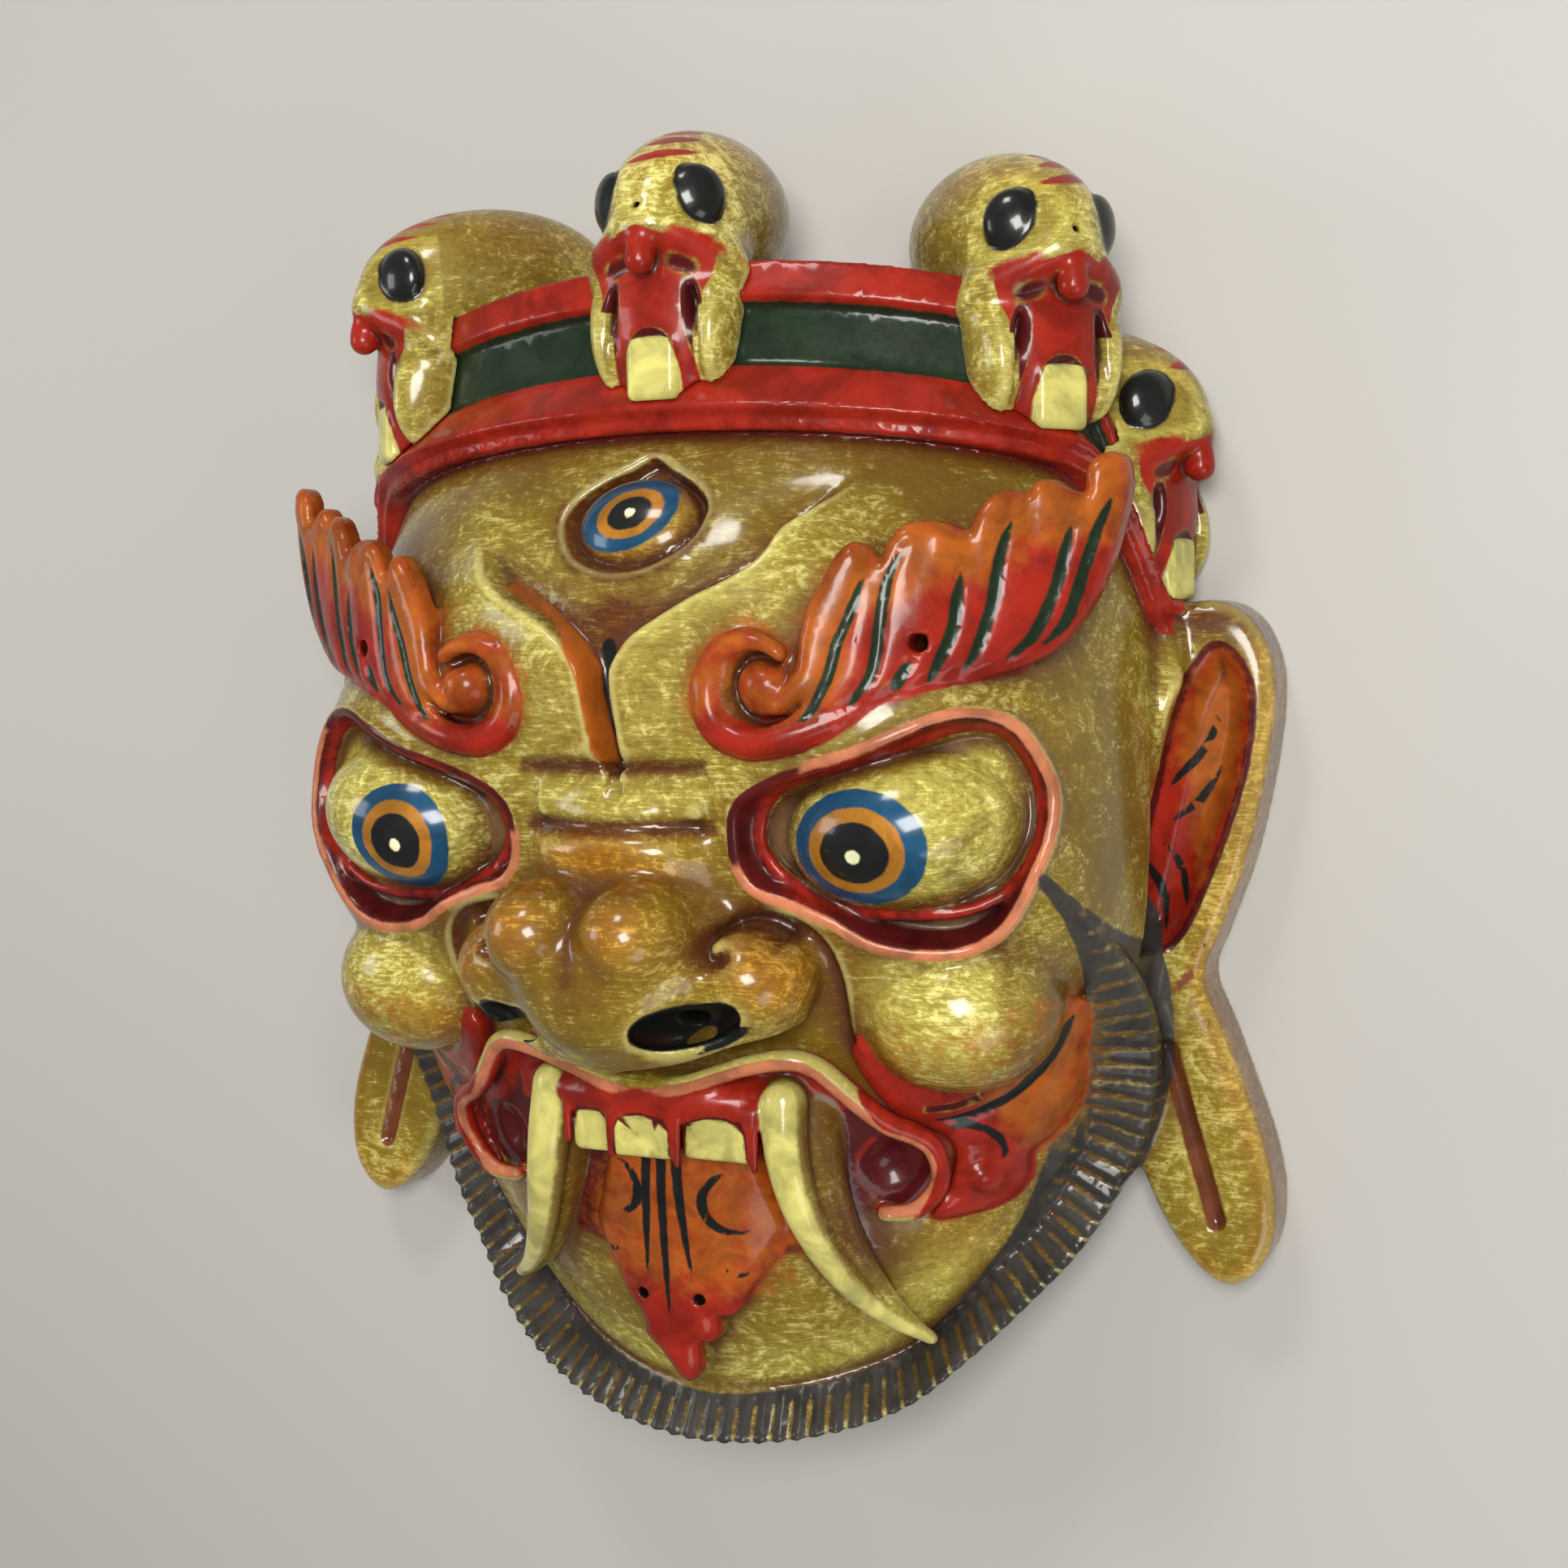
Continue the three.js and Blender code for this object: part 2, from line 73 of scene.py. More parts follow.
# Distances
def smooth_union(a, b, blend):
    if blend == 0:
        return np.minimum(a, b)
    share = np.clip(0.5 + 0.5 * (b - a) / blend, 0, 1)
    return b + (a - b) * share - blend * share * (1 - share)


def smooth_meet(a, b, blend):
    return -smooth_union(-a, -b, blend)


def smooth_cut(a, b, blend):
    return smooth_meet(a, -b, blend)


def smooth_step(low, high, value):
    share = np.clip((value - low) / (high - low), 0, 1)
    return share * share * (3 - 2 * share)


def smooth_line(points, steps=6, closed=False):
    """Points along a smooth curve through the given ones"""
    points = np.asarray(points, float)
    if closed:
        padded = np.vstack([points[-1:], points, points[:2]])
    else:
        padded = np.vstack([2 * points[:1] - points[1:2], points, 2 * points[-1:] - points[-2:-1]])
    spans = len(padded) - 3
    shares = (np.arange(steps) / steps)[:, None]
    curve = []
    for a, b, c, d in (padded[i:i + 4] for i in range(spans)):
        curve.append(
            0.5 * (2 * b + (c - a) * shares + (2 * a - 5 * b + 4 * c - d) * shares**2
                   + (3 * b - a - 3 * c + d) * shares**3)
        )
    if not closed:
        curve.append(points[-1:])
    return np.vstack(curve)


def plan_line(x, y, line, closed=False):
    """Distance in plan from a line, the side of it (minus on the right), and the share along it"""
    ends = np.roll(line, -1, axis=0) if closed else line[1:]
    starts = line if closed else line[:-1]
    lengths = np.linalg.norm(ends[:, :2] - starts[:, :2], axis=1)
    total = lengths.sum()
    nearest = np.full(np.broadcast(x, y).shape, 1e9)
    side = np.zeros_like(nearest)
    share = np.zeros_like(nearest)
    gone = 0.0
    for start, end, length in zip(starts, ends, lengths):
        along = (end[:2] - start[:2]) / max(length, 1e-6)
        right, up = x - start[0], y - start[1]
        place = np.clip(right * along[0] + up * along[1], 0, length)
        gap = (right - place * along[0]) ** 2 + (up - place * along[1]) ** 2
        closer = gap < nearest
        nearest = np.where(closer, gap, nearest)
        side = np.where(closer, np.sign(along[0] * up - along[1] * right), side)
        share = np.where(closer, (gone + place) / total, share)
        gone += length
    return np.sqrt(nearest), side, share


def plan_outline(x, y, outline):
    """Distance in plan from a closed outline, minus inside it"""
    nearest, _, _ = plan_line(x, y, outline, closed=True)
    inside = np.zeros(nearest.shape, bool)
    for (ax, ay), (bx, by) in zip(outline[:, :2], np.roll(outline, -1, axis=0)[:, :2]):
        if ay != by:
            inside ^= ((ay > y) != (by > y)) & (x < ax + (y - ay) * (bx - ax) / (by - ay))
    return np.where(inside, -nearest, nearest)


class Form:
    """One form to carve: its distance, and the corners of the box that it lies in"""

    def __init__(self, distance, low, high):
        self.distance = distance
        self.low = np.asarray(low, float)
        self.high = np.asarray(high, float)

    def mirrored(self):
        low = (-self.high[0], self.low[1], self.low[2])
        high = (-self.low[0], self.high[1], self.high[2])
        return Form(lambda x, y, z: self.distance(-x, y, z), low, high)


def both_sides(forms):
    return [side for form in forms for side in (form, form.mirrored())]


def egg(centre, radii, turn=(0, 0, 0)):
    """An egg turned about X, then Y, then Z of its own, in degrees"""
    turned = Matrix.Identity(3)
    for angle, axis in zip(turn, "XYZ"):
        turned = turned @ Matrix.Rotation(math.radians(angle), 3, axis)
    rows = np.array(turned.transposed())
    radii = np.asarray(radii, float)

    def distance(x, y, z):
        right, up, out = x - centre[0], y - centre[1], z - centre[2]
        parts = [row[0] * right + row[1] * up + row[2] * out for row in rows]
        near = np.sqrt(sum((part / radius) ** 2 for part, radius in zip(parts, radii))) + 1e-4
        steep = np.sqrt(sum((part / radius**2) ** 2 for part, radius in zip(parts, radii))) + 1e-6
        return near * (near - 1) / steep

    reach = np.sqrt((np.array(turned) ** 2) @ radii**2)
    return Form(distance, np.subtract(centre, reach), np.add(centre, reach))


def rod(points, radii, steps=6, closed=False):
    """A round rod along a smooth curve; radii are given by share of its length"""
    line = smooth_line(points, steps, closed)
    shares = np.linspace(0, 1, len(line))
    sizes = np.interp(shares, np.linspace(0, 1, len(np.atleast_1d(radii))), np.atleast_1d(radii))
    starts, ends = (line, np.roll(line, -1, axis=0)) if closed else (line[:-1], line[1:])

    def distance(x, y, z):
        best = None
        for start, end, first, last in zip(starts, ends, sizes, np.roll(sizes, -1)):
            along = end - start
            right, up, out = x - start[0], y - start[1], z - start[2]
            share = (right * along[0] + up * along[1] + out * along[2]) / (along @ along)
            share = np.clip(share, 0, 1)
            gap = np.sqrt((right - share * along[0]) ** 2 + (up - share * along[1]) ** 2
                          + (out - share * along[2]) ** 2) - (first + share * (last - first))
            best = gap if best is None else np.minimum(best, gap)
        return best

    reach = sizes.max()
    return Form(distance, line.min(axis=0) - reach, line.max(axis=0) + reach)


def rounded_block(centre, half, rounding):
    def distance(x, y, z):
        sides = zip((x, y, z), centre, half)
        gaps = [np.abs(value - middle) - size + rounding for value, middle, size in sides]
        outside = np.sqrt(sum(np.maximum(gap, 0) ** 2 for gap in gaps))
        inside = np.minimum(np.maximum(np.maximum(gaps[0], gaps[1]), gaps[2]), 0)
        return outside + inside - rounding

    return Form(distance, np.subtract(centre, half), np.add(centre, half))


def leaf(outline, front, thickness, rounding):
    """A slab inside a plan outline, under a front surface given by a function of x and y"""
    def distance(x, y, z):
        side = plan_outline(x, y, outline)
        depth = np.abs(z - front(x, y, side) + thickness / 2) - thickness / 2
        return smooth_meet(side, depth, rounding)

    low, high = outline[:, :2].min(axis=0), outline[:, :2].max(axis=0)
    return Form(distance, (*low, -5), (*high, 175))


class Block:
    """A block of wood, held as distances on a grid"""

    def __init__(self, low, high, step):
        self.low = np.asarray(low, float)
        self.step = step
        counts = np.ceil((np.asarray(high) - self.low) / step).astype(int) + 1
        self.axes = [
            (start + step * np.arange(count)).astype(np.float32) for start, count in zip(self.low, counts)
        ]
        self.field = np.full(counts, 1e3, np.float32)

    def places(self, window=(slice(None),) * 3):
        x, y, z = (axis[part] for axis, part in zip(self.axes, window))
        return x[:, None, None], y[None, :, None], z[None, None, :]

    def window(self, form, margin):
        spans = zip(self.axes, form.low - margin, form.high + margin)
        return tuple(slice(*np.searchsorted(axis, (start, end))) for axis, start, end in spans)

    def work(self, forms, blend, change):
        for form in forms if isinstance(forms, list) else [forms]:
            window = self.window(form, blend + 4)
            if all(part.stop > part.start for part in window):
                made = form.distance(*self.places(window))
                self.field[window] = change(self.field[window], made, blend)

    def add(self, forms, blend=0):
        self.work(forms, blend, smooth_union)

    def cut(self, forms, blend=0):
        self.work(forms, blend, smooth_cut)

    def skin(self):
        """Points and four-sided faces of the surface"""
        grid = openvdb.FloatGrid(1e3)
        grid.copyFromArray(np.clip(self.field / self.step, -4, 4).astype(np.float32))
        points, faces = grid.convertToQuads(0.0)
        return points * self.step + self.low, faces

    def sample(self, values, points):
        """Values of a grid at points, by straight blending"""
        places = (points - self.low) / self.step
        places = np.clip(places, 0, np.array(values.shape) - 1.001)
        corner = places.astype(int)
        share = places - corner
        total = 0
        for right in (0, 1):
            for up in (0, 1):
                for out in (0, 1):
                    weight = (
                        (share[:, 0] if right else 1 - share[:, 0])
                        * (share[:, 1] if up else 1 - share[:, 1])
                        * (share[:, 2] if out else 1 - share[:, 2])
                    )
                    place = (corner[:, 0] + right, corner[:, 1] + up, corner[:, 2] + out)
                    total = total + weight * values[place]
        return total

    def fullness(self, points, reach):
        """How much wood lies round each point: over a half in a hollow, under a half on an edge"""
        wood = np.clip(0.5 - self.field / (2 * self.step), 0, 1).astype(np.float32)
        count = max(1, round(reach / self.step))
        for _ in range(2):
            for axis in range(3):
                padding = [(0, 0)] * 3
                padding[axis] = (count + 1, count)
                sums = np.cumsum(np.pad(wood, padding, mode="edge"), axis=axis, dtype=np.float64)
                ahead = [slice(None)] * 3
                behind = [slice(None)] * 3
                ahead[axis] = slice(2 * count + 1, None)
                behind[axis] = slice(None, -(2 * count + 1))
                wood = ((sums[tuple(ahead)] - sums[tuple(behind)]) / (2 * count + 1)).astype(np.float32)
        return self.sample(wood, points)


# Head
def station_value(y, column):
    """One column of the head's stations, rounded where the stations meet"""
    heights, values = HEAD_STATIONS[:, 0], HEAD_STATIONS[:, column]
    return sum(weight * np.interp(y + shift, heights, values) for shift, weight in STATION_WEIGHTS)


def head_distance(x, y, z):
    width, depth, power = (station_value(y, column) for column in (1, 2, 3))
    across = np.abs(x) / width + 1e-4
    out = np.maximum(z, 0) / depth + 1e-4
    level = (across**power + out**power) ** (1 / power)
    steep = np.sqrt((across ** (power - 1) / width) ** 2 + (out ** (power - 1) / depth) ** 2)
    return (level - 1) / (level ** (1 - power) * steep)


def head_front(x, y):
    width, depth, power = (station_value(y, column) for column in (1, 2, 3))
    across = np.minimum(np.abs(x) / width, 1)
    return depth * (1 - across**power) ** (1 / power)


def on_head(points, lift=0.0):
    points = np.asarray(points, float)
    return np.column_stack([points[:, 0], points[:, 1], head_front(points[:, 0], points[:, 1]) + lift])


# Crown
CROWN_RADIUS_X = 146.0
CROWN_RADIUS_Z = 77.0
CROWN_CENTRE_Z = 27.0
CROWN_FRONT = 121.0
CROWN_DEPTH = 36.0
CROWN_PROFILE = np.array([
    (0, 0), (5.6, 0), (6.2, 4), (20.6, -8.6), (21.4, -10.2), (40.6, -13), (41.4, -8.4), (54, -12),
])
CROWN_SHIFTS = (-1.2, -0.6, 0, 0.6, 1.2)
CROWN_HEIGHT = 54.0
CROWN_STRIPE = (20.6, 40.9)


def crown_foot(degrees):
    turned = np.abs(degrees)
    rise = 14 * np.minimum(turned / 60, 1) ** 2
    return CROWN_FRONT - rise - 50 * smooth_step(58, 88, turned)


def crown_place(x, y, z):
    """Height over the crown's foot and distance out from its foot line"""
    right, out = x / CROWN_RADIUS_X, (z - CROWN_CENTRE_Z) / CROWN_RADIUS_Z
    degrees = np.degrees(np.arctan2(right, out))
    level = np.sqrt(right**2 + out**2) + 1e-4
    slope = np.sqrt((right / CROWN_RADIUS_X) ** 2 + (out / CROWN_RADIUS_Z) ** 2) / level
    return y - crown_foot(degrees), (level - 1) / slope, degrees


def crown_distance(x, y, z):
    height, out, _ = crown_place(x, y, z)
    heights, outs = CROWN_PROFILE.T
    face = sum(np.interp(height + shift, heights, outs) for shift in CROWN_SHIFTS) / len(CROWN_SHIFTS)
    inside = np.maximum(out - face, -out - CROWN_DEPTH)
    return np.maximum(inside, np.maximum(-height, height - CROWN_HEIGHT))


# Beard
BEARD_EDGE = np.array([
    (126, -14, 112), (135, -30, 92), (142, -50, 64), (145, -72, 46), (143, -95, 38), (136, -116, 35),
    (121, -144, 43), (104, -164, 53), (86, -182, 65), (66, -198, 72), (36, -208, 82), (0, -212, 86),
], float)
BEARD_INNER_Z = np.array([118, 104, 84, 57, 46, 40, 39, 45, 43, 50, 64, 74], float)
BEARD_WIDTH = 20.0
BEARD_PITCH = 6.4
BEARD_TOP = 5.0
BEARD_LINE = smooth_line(np.vstack([BEARD_EDGE, (BEARD_EDGE[:-1] * (-1, 1, 1))[::-1]]))
BEARD_INNER = smooth_line(np.hstack([BEARD_INNER_Z, BEARD_INNER_Z[-2::-1]])[:, None])[:, 0]
BEARD_LENGTH = np.linalg.norm(np.diff(BEARD_LINE[:, :2], axis=0), axis=1).sum()


def beard_place(x, y):
    """Width in from the beard's edge, the height of its front, and the place along it"""
    gap, side, share = plan_line(x, y, BEARD_LINE)
    width = -gap * side
    lengths = np.linalg.norm(np.diff(BEARD_LINE[:, :2], axis=0), axis=1)
    shares = np.concatenate([[0], np.cumsum(lengths)]) / BEARD_LENGTH
    outer = np.interp(share, shares, BEARD_LINE[:, 2])
    inner = np.interp(share, shares, BEARD_INNER)
    across = np.clip(width / BEARD_WIDTH, 0, 1.25)
    return width, outer + (inner - outer) * across, share


def beard_width(x, y):
    """Width of the dark band: wider on the viewer's right, narrower under the chin"""
    wider = 5 * np.clip(x / 90, -0.6, 1) * smooth_step(-150, -95, y) * smooth_step(-25, -60, y)
    return BEARD_WIDTH + wider - 6 * smooth_step(-125, -190, y)


def beard_taper(share):
    return smooth_step(-0.02, 0.16, np.minimum(share, 1 - share))


def beard_groove(share):
    return np.cos(2 * math.pi * share * BEARD_LENGTH / BEARD_PITCH)


def beard_distance(x, y, z):
    width, front, share = beard_place(x, y)
    taper = beard_taper(share)
    dark = beard_width(x, y)
    groove = 0.6 * (beard_groove(share) - 1) * taper * smooth_step(1, -3, width - dark)
    recede = 5 * smooth_step(0, 22, front - 8 - z) - 0.3 * groove
    walls = np.maximum(recede - width, width - np.maximum(dark, BEARD_WIDTH) * taper)
    return smooth_meet(walls, (z - front - groove) * 0.8, 1.5)


# Ears
EAR_FRONT = 27.0
EAR_OUTLINE = smooth_line([
    (124, 60), (147, 65), (161, 66), (172, 59), (178, 43), (177, 20), (170, -15), (161, -41), (156, -57),
    (164, -78), (177, -115), (179, -138), (174, -152), (163, -158), (149, -147), (137, -125),
    (132, -100), (130, -70), (126, -20),
], 5, True)
CONCHA_OUTLINE = smooth_line([
    (160, 52), (171, 40), (170, 15), (161, -15), (149, -42), (140, -47), (132, -40), (136, -18),
    (142, 8), (149, 35),
], 5, True)
CONCHA_STROKES = [smooth_line(stroke, 4) for stroke in (
    [(161.5, 34), (156.5, 20.5), (148, 10), (142, 4)], [(161, 13), (155, 3), (144.5, -6)],
    [(142, -12), (147.5, -21), (151, -35)], [(137, -17), (141.5, -29), (143, -41)],
)]
LOBE_SLOT = [(145, -80, EAR_FRONT), (161, -136, EAR_FRONT)]
NECK_STROKE = smooth_line([(140, -58), (146, -60.5), (152, -55)])


def ear_distance(x, y, z):
    side = plan_outline(x, y, EAR_OUTLINE)
    swell = 1.2 * smooth_step(0, 10, -side)
    return smooth_meet(side, z - EAR_FRONT + 1.5 - swell, 5)


def concha_distance(x, y, z):
    side = plan_outline(x, y, CONCHA_OUTLINE)
    floor = EAR_FRONT - 8.5 * smooth_step(-1, 9, -side)
    return smooth_meet(side, floor - z, 1.5)


# Brows
BROW_LOWER = [
    (46, 26), (58, 28), (67, 31), (76, 34), (87, 37.5), (99, 41.5), (109, 43.5), (119, 46), (128, 51),
    (135, 59), (140, 68), (144, 79), (147, 91), (148.5, 101),
]
BROW_UPPER = [
    (147.5, 108), (144, 109.5), (140, 108), (137.4, 104.5), (136.4, 98), (133, 98.5), (129.5, 101),
    (125, 101), (121.8, 97.4), (118, 98.2), (113, 96), (109.4, 91), (107, 86.8), (102, 88.6),
    (96, 89.4), (90, 87.2), (86.6, 82), (84.2, 78.8), (80.5, 82.8), (76.5, 83), (72, 78), (68.5, 71),
    (65, 64), (63, 56), (62, 47),
]
BROW_FRONT = np.array([
    (40, 144), (62, 142), (80, 136), (97, 128), (113, 117), (127, 107), (138, 100), (149, 93),
], float)
BROW_THICK = 10.0
BROW_HOLE = (95.6, 54)
BROW_OUTLINE = np.vstack([smooth_line(BROW_LOWER), smooth_line(BROW_UPPER)])
BROW_STRIPES = [smooth_line(stripe, 3) for stripe in (
    [(81.5, 73.5), (78, 63), (74.5, 54.5), (72, 45.5), (68.5, 37.5), (65, 32.5), (61.5, 30.5)],
    [(92, 81.5), (88, 73), (86, 62), (85, 52.5), (83, 44), (78.5, 38), (75, 34.5)],
    [(93.5, 48.5), (91, 44), (88.5, 40)],
    [(106.5, 74.5), (105.5, 66), (104.5, 58), (102, 51), (99, 44.5), (97, 42)],
    [(119, 89), (117, 82.5), (115.5, 74), (114.5, 66), (112, 57), (109, 49), (105, 45)],
    [(134, 88), (132, 78), (130, 69.5), (126.5, 60), (123, 54), (117, 48.5)],
    [(144.5, 96), (140.5, 86), (137.5, 75.5), (135, 67), (132, 59), (126.5, 53)],
)]
BROW_VALLEYS = [smooth_line(valley, 3) for valley in (
    [(84.2, 79), (84, 70), (80, 58)], [(98, 88), (97, 78), (94, 64)], [(107, 87), (110, 76), (108, 62)],
    [(121.8, 97), (124, 84), (122, 70)], [(136.4, 98), (138, 90)],
)]
SCROLL_ROD = [
    (84, 38.5, 128), (74, 33, 132.4), (64, 29, 136), (55, 26.2, 138.4), (46, 25.4, 139),
    (37.5, 29.2, 139), (33.6, 37, 139), (34.6, 46, 139), (40, 52.6, 139.2), (48, 54.6, 139.4),
    (56, 51.4, 139.6),
]
SCROLL_ROD_SIZES = (3, 4.2, 4.8, 5.0, 4.9, 4.7, 4.5, 4.2, 4.0, 3.9, 3.4)
SCROLL_DISC = (51.6, 42)
SCROLL_GROOVE = smooth_line([
    (64, 37.6), (58.6, 33.4), (52, 31.4), (46, 33.2), (42.4, 38.6), (42.6, 45), (46.2, 49.6),
    (51, 50.4), (55.4, 48.6),
], 3)


def brow_front(x, y, side):
    edge = 2.2 * (1 - smooth_step(0, 4, -side))
    carved = np.zeros(np.broadcast(x, y).shape)
    for stripe in BROW_STRIPES:
        gap, _, _ = plan_line(x, y, stripe)
        carved = carved + 1.0 * np.exp(-((gap / 1.5) ** 2)) + 0.5 * np.exp(-((gap / 4) ** 2))
    for valley in BROW_VALLEYS:
        gap, _, share = plan_line(x, y, valley)
        carved = carved + 1.6 * (1 - share) * np.exp(-((gap / 2.6) ** 2))
    return np.interp(x, BROW_FRONT[:, 0], BROW_FRONT[:, 1]) - edge - carved


def brow_scroll():
    base = egg((47.5, 40.5, 126), (15, 14.6, 6))
    disc = egg((*SCROLL_DISC, 137), (7.2, 7.2, 6))
    return [base, rod(SCROLL_ROD, SCROLL_ROD_SIZES, 4), disc]


# Face
LID_LINE = smooth_line([
    (37.5, -4), (39, 4.5), (45, 10.5), (56, 15.5), (66, 18.6), (78, 22.4), (92, 28.5), (102, 32.6),
    (112, 33.2), (121, 28.6), (127.6, 18), (130.4, 8), (129.4, -4), (125.6, -14), (119, -27),
    (112, -34), (103, -37.8), (90, -38), (78, -35.2), (68, -29), (55, -23.4), (44, -20), (38.6, -13),
], 3, True)
LID_RIDGE = smooth_line([
    (43.5, -4), (47, 6), (54, 12.2), (64, 16), (75, 19), (88, 23.5), (99, 28), (109, 30), (118, 26.5),
    (124.6, 15), (126.6, 4), (125.8, -5), (122, -13), (116, -20), (106, -25), (93, -27), (76, -26.4),
    (64, -23.8), (55, -19.5), (47, -13),
], 3, True)
# Painted rings of the eyes: colour, radii, and how far down the ring sits
IRIS_RINGS = (
    ("blue", (22, 17.4), 0), ("amber", (15.7, 12.9), 0.6),
    ("black", (11.2, 9.2), 1.1), ("dot", (2.4, 2.2), 2.2),
)
IRISES = {1: (79.0, -5.5, 1.0), -1: (-78.6, -6.5, 0.76)}
THIRD_EYE_RINGS = (
    ("blue", (-2.6, 94.2), (17, 11)), ("amber", (-1.2, 94.6), (11.4, 7.6)),
    ("black", (-1, 94.8), (7.7, 5)), ("dot", (-0.6, 95), (1.9, 1.7)),
)
THIRD_EYE_LINE = smooth_line([
    (-1, 114.5), (-9, 110.4), (-17, 106.4), (-25, 100.5), (-28, 93.5), (-25.5, 86), (-20, 79.5),
    (-11, 75.4), (-2.5, 74.6), (6, 75.6), (15, 79.6), (21.5, 85), (24.4, 92.4), (23.4, 99),
    (17, 104.8), (8, 109.8),
], 3, True)
FURROW_RIGHT = smooth_line([
    (69, 108), (63, 101), (56, 95), (50, 89.5), (46, 81.5), (38, 75.4), (27, 70), (15, 62.6),
    (8.6, 58), (4.4, 52.6), (1.4, 47), (1.4, 38), (3.2, 19),
], 3)
FURROW_LEFT = smooth_line([
    (-59, 93), (-50.4, 82), (-39, 72), (-24, 64.5), (-12, 56), (-6, 48), (-5, 38), (-2, 19),
], 4)
ORANGE_STRIP = smooth_line([
    (-46, 78), (-31, 69.4), (-20, 62.4), (-12.6, 54), (-8.4, 45), (-6.8, 35), (-4.6, 20),
], 4)
SLIT = smooth_line([(-2.6, 54), (-2.2, 40), (-0.2, 28), (1.2, 18)], 3)
CHEEK_CREASE = smooth_line([
    (40, -27), (49, -27.5), (58, -30), (64.6, -36.4), (67, -46), (66.4, -56), (66, -66), (69, -76), (74, -84),
], 4)
WING_CURL = smooth_line([
    (55, -33), (49, -29.6), (42, -28.6), (35.6, -31), (33, -35.6), (35.6, -39.6), (40.4, -38.6),
], 3)
SADDLE_HEIGHTS = (17.4, -0.8)
NOSE_FORMS = (
    ((0, -10, 124), (30, 26, 22), 10), ((-1, -8.5, 137), (24, 8, 8.5), 3),
    ((0, -43, 130), (40, 24, 32), 10), ((0, -55, 139), (26, 18.5, 22), 8),
)
NOSE_BULBS = (-19.6, 13)
NOSE_WINGS = (((43.5, -46.5, 128), (19.5, 17.6, 20.5), 6), ((-40, -46, 129), (18.5, 18, 20), 11))
NOSE_RIM = [(0, -70, 143), (20, -67.5, 141), (38, -62, 135), (54, -57, 124)]
NOSE_RIM_SIZES = (5, 5, 4.6, 4)
UNDER_NOSE = smooth_line([(3, -77.5), (14, -74), (25, -70), (34, -68)])
CHEEK = ((97, -58, 92), (31, 26, 29), (0, 20, 0))
EYEBALL = ((84.5, -1, 106), (37, 26.2, 33.5), (0, 8, 8))
NOSTRILS = (
    ((28.5, -59, 147), (17, 5, 15), (-18, 0, 17)), ((-34, -62.5, 140), (12, 4.4, 13), (-18, 0, -17)),
)
NOSE_TUNNEL = [(28, -60, 144), (24, -50, 118), (20, -42, 92)]
LIP_LINE = [
    (0, -85.5, 118), (9, -84.4, 119), (19, -81.6, 119.5), (30, -77.6, 119), (40, -74.6, 118.6),
    (50, -73.4, 116.5), (57, -76.2, 113), (63, -83, 108), (69, -90, 103), (75, -95.4, 98.5),
    (81, -98.6, 94), (85.6, -103, 90), (87, -111, 86), (84.4, -119, 83.6), (77, -126, 84),
    (68, -127.4, 85),
]
LIP_SIZES = (3, 3.2, 3.4, 3.6, 3.6, 3.6, 3.4, 3.2, 2.8)
LIP_WHOLE = [(-x, y, z) for x, y, z in LIP_LINE[:0:-1]] + LIP_LINE
LIP_WHOLE_SIZES = LIP_SIZES[::-1] + LIP_SIZES
MOUTH = ((0, -119, 116), (62, 26, 24), (10, 0, 0))
MOUTH_CORNER = ((72, -113, 93), (11, 11, 13))
GUM = ((0, -89, 98), (50, 13, 25.5))
FANG_RIGHT = [
    (44, -88, 110), (45.4, -103, 112), (48.5, -118, 110.5), (53, -134, 103.5),
    (59.5, -149, 94), (68, -162, 82), (77.4, -171.5, 70),
]
FANG_LEFT = [
    (-37.5, -88, 110), (-38.8, -103, 112), (-41.6, -118, 110), (-47, -134, 103),
    (-55, -148, 93), (-64, -158, 83), (-74, -165, 73),
]
FANG_SIZES = (7.4, 7, 6.3, 5.4, 4.4, 3.2, 1.9)
FANG_BACK_SIZES = (9.5, 9.4, 8.8, 7.4, 5.6, 3.6, 1.6)
TOOTH_EDGES = [(-26.4, -12.2), (-11.2, 10.8), (11.9, 36.0)]
DRIPS = ((-11.4, -107.0), (11.6, -108.5), (36.4, -109.0), (-28.6, -104.0))
TONGUE_OUTLINE = smooth_line([
    (-14, -100), (-22, -112), (-27.5, -128), (-30.4, -134.4), (-28, -141.6), (-21.8, -153.6),
    (-18.6, -160), (-14.6, -164), (-12.4, -168.4), (-12.6, -173), (-8.4, -176.4), (-4.6, -180.6),
    (-0.8, -186), (3.2, -187.4), (6, -184.4), (6.6, -178), (7, -173.6), (12, -172.8), (13.8, -168.4),
    (13.4, -163.6), (17.6, -163.8), (21.4, -160.6), (23.4, -155.6), (30.6, -146), (36, -138),
    (38.4, -133), (35, -120), (30, -106), (20, -100),
], 3, True)
TONGUE_FRONT = np.array([(-200, 98), (-188, 98), (-164, 102), (-138, 107), (-120, 110), (-100, 111)], float)
TONGUE_LINES = [np.array(line, float) for line in (
    [(-4.6, -110), (-6, -129), (-8.2, -151)], [(0.8, -110), (-0.4, -140), (-1.6, -167)],
    [(6, -110), (6.6, -128), (8, -151)],
)]
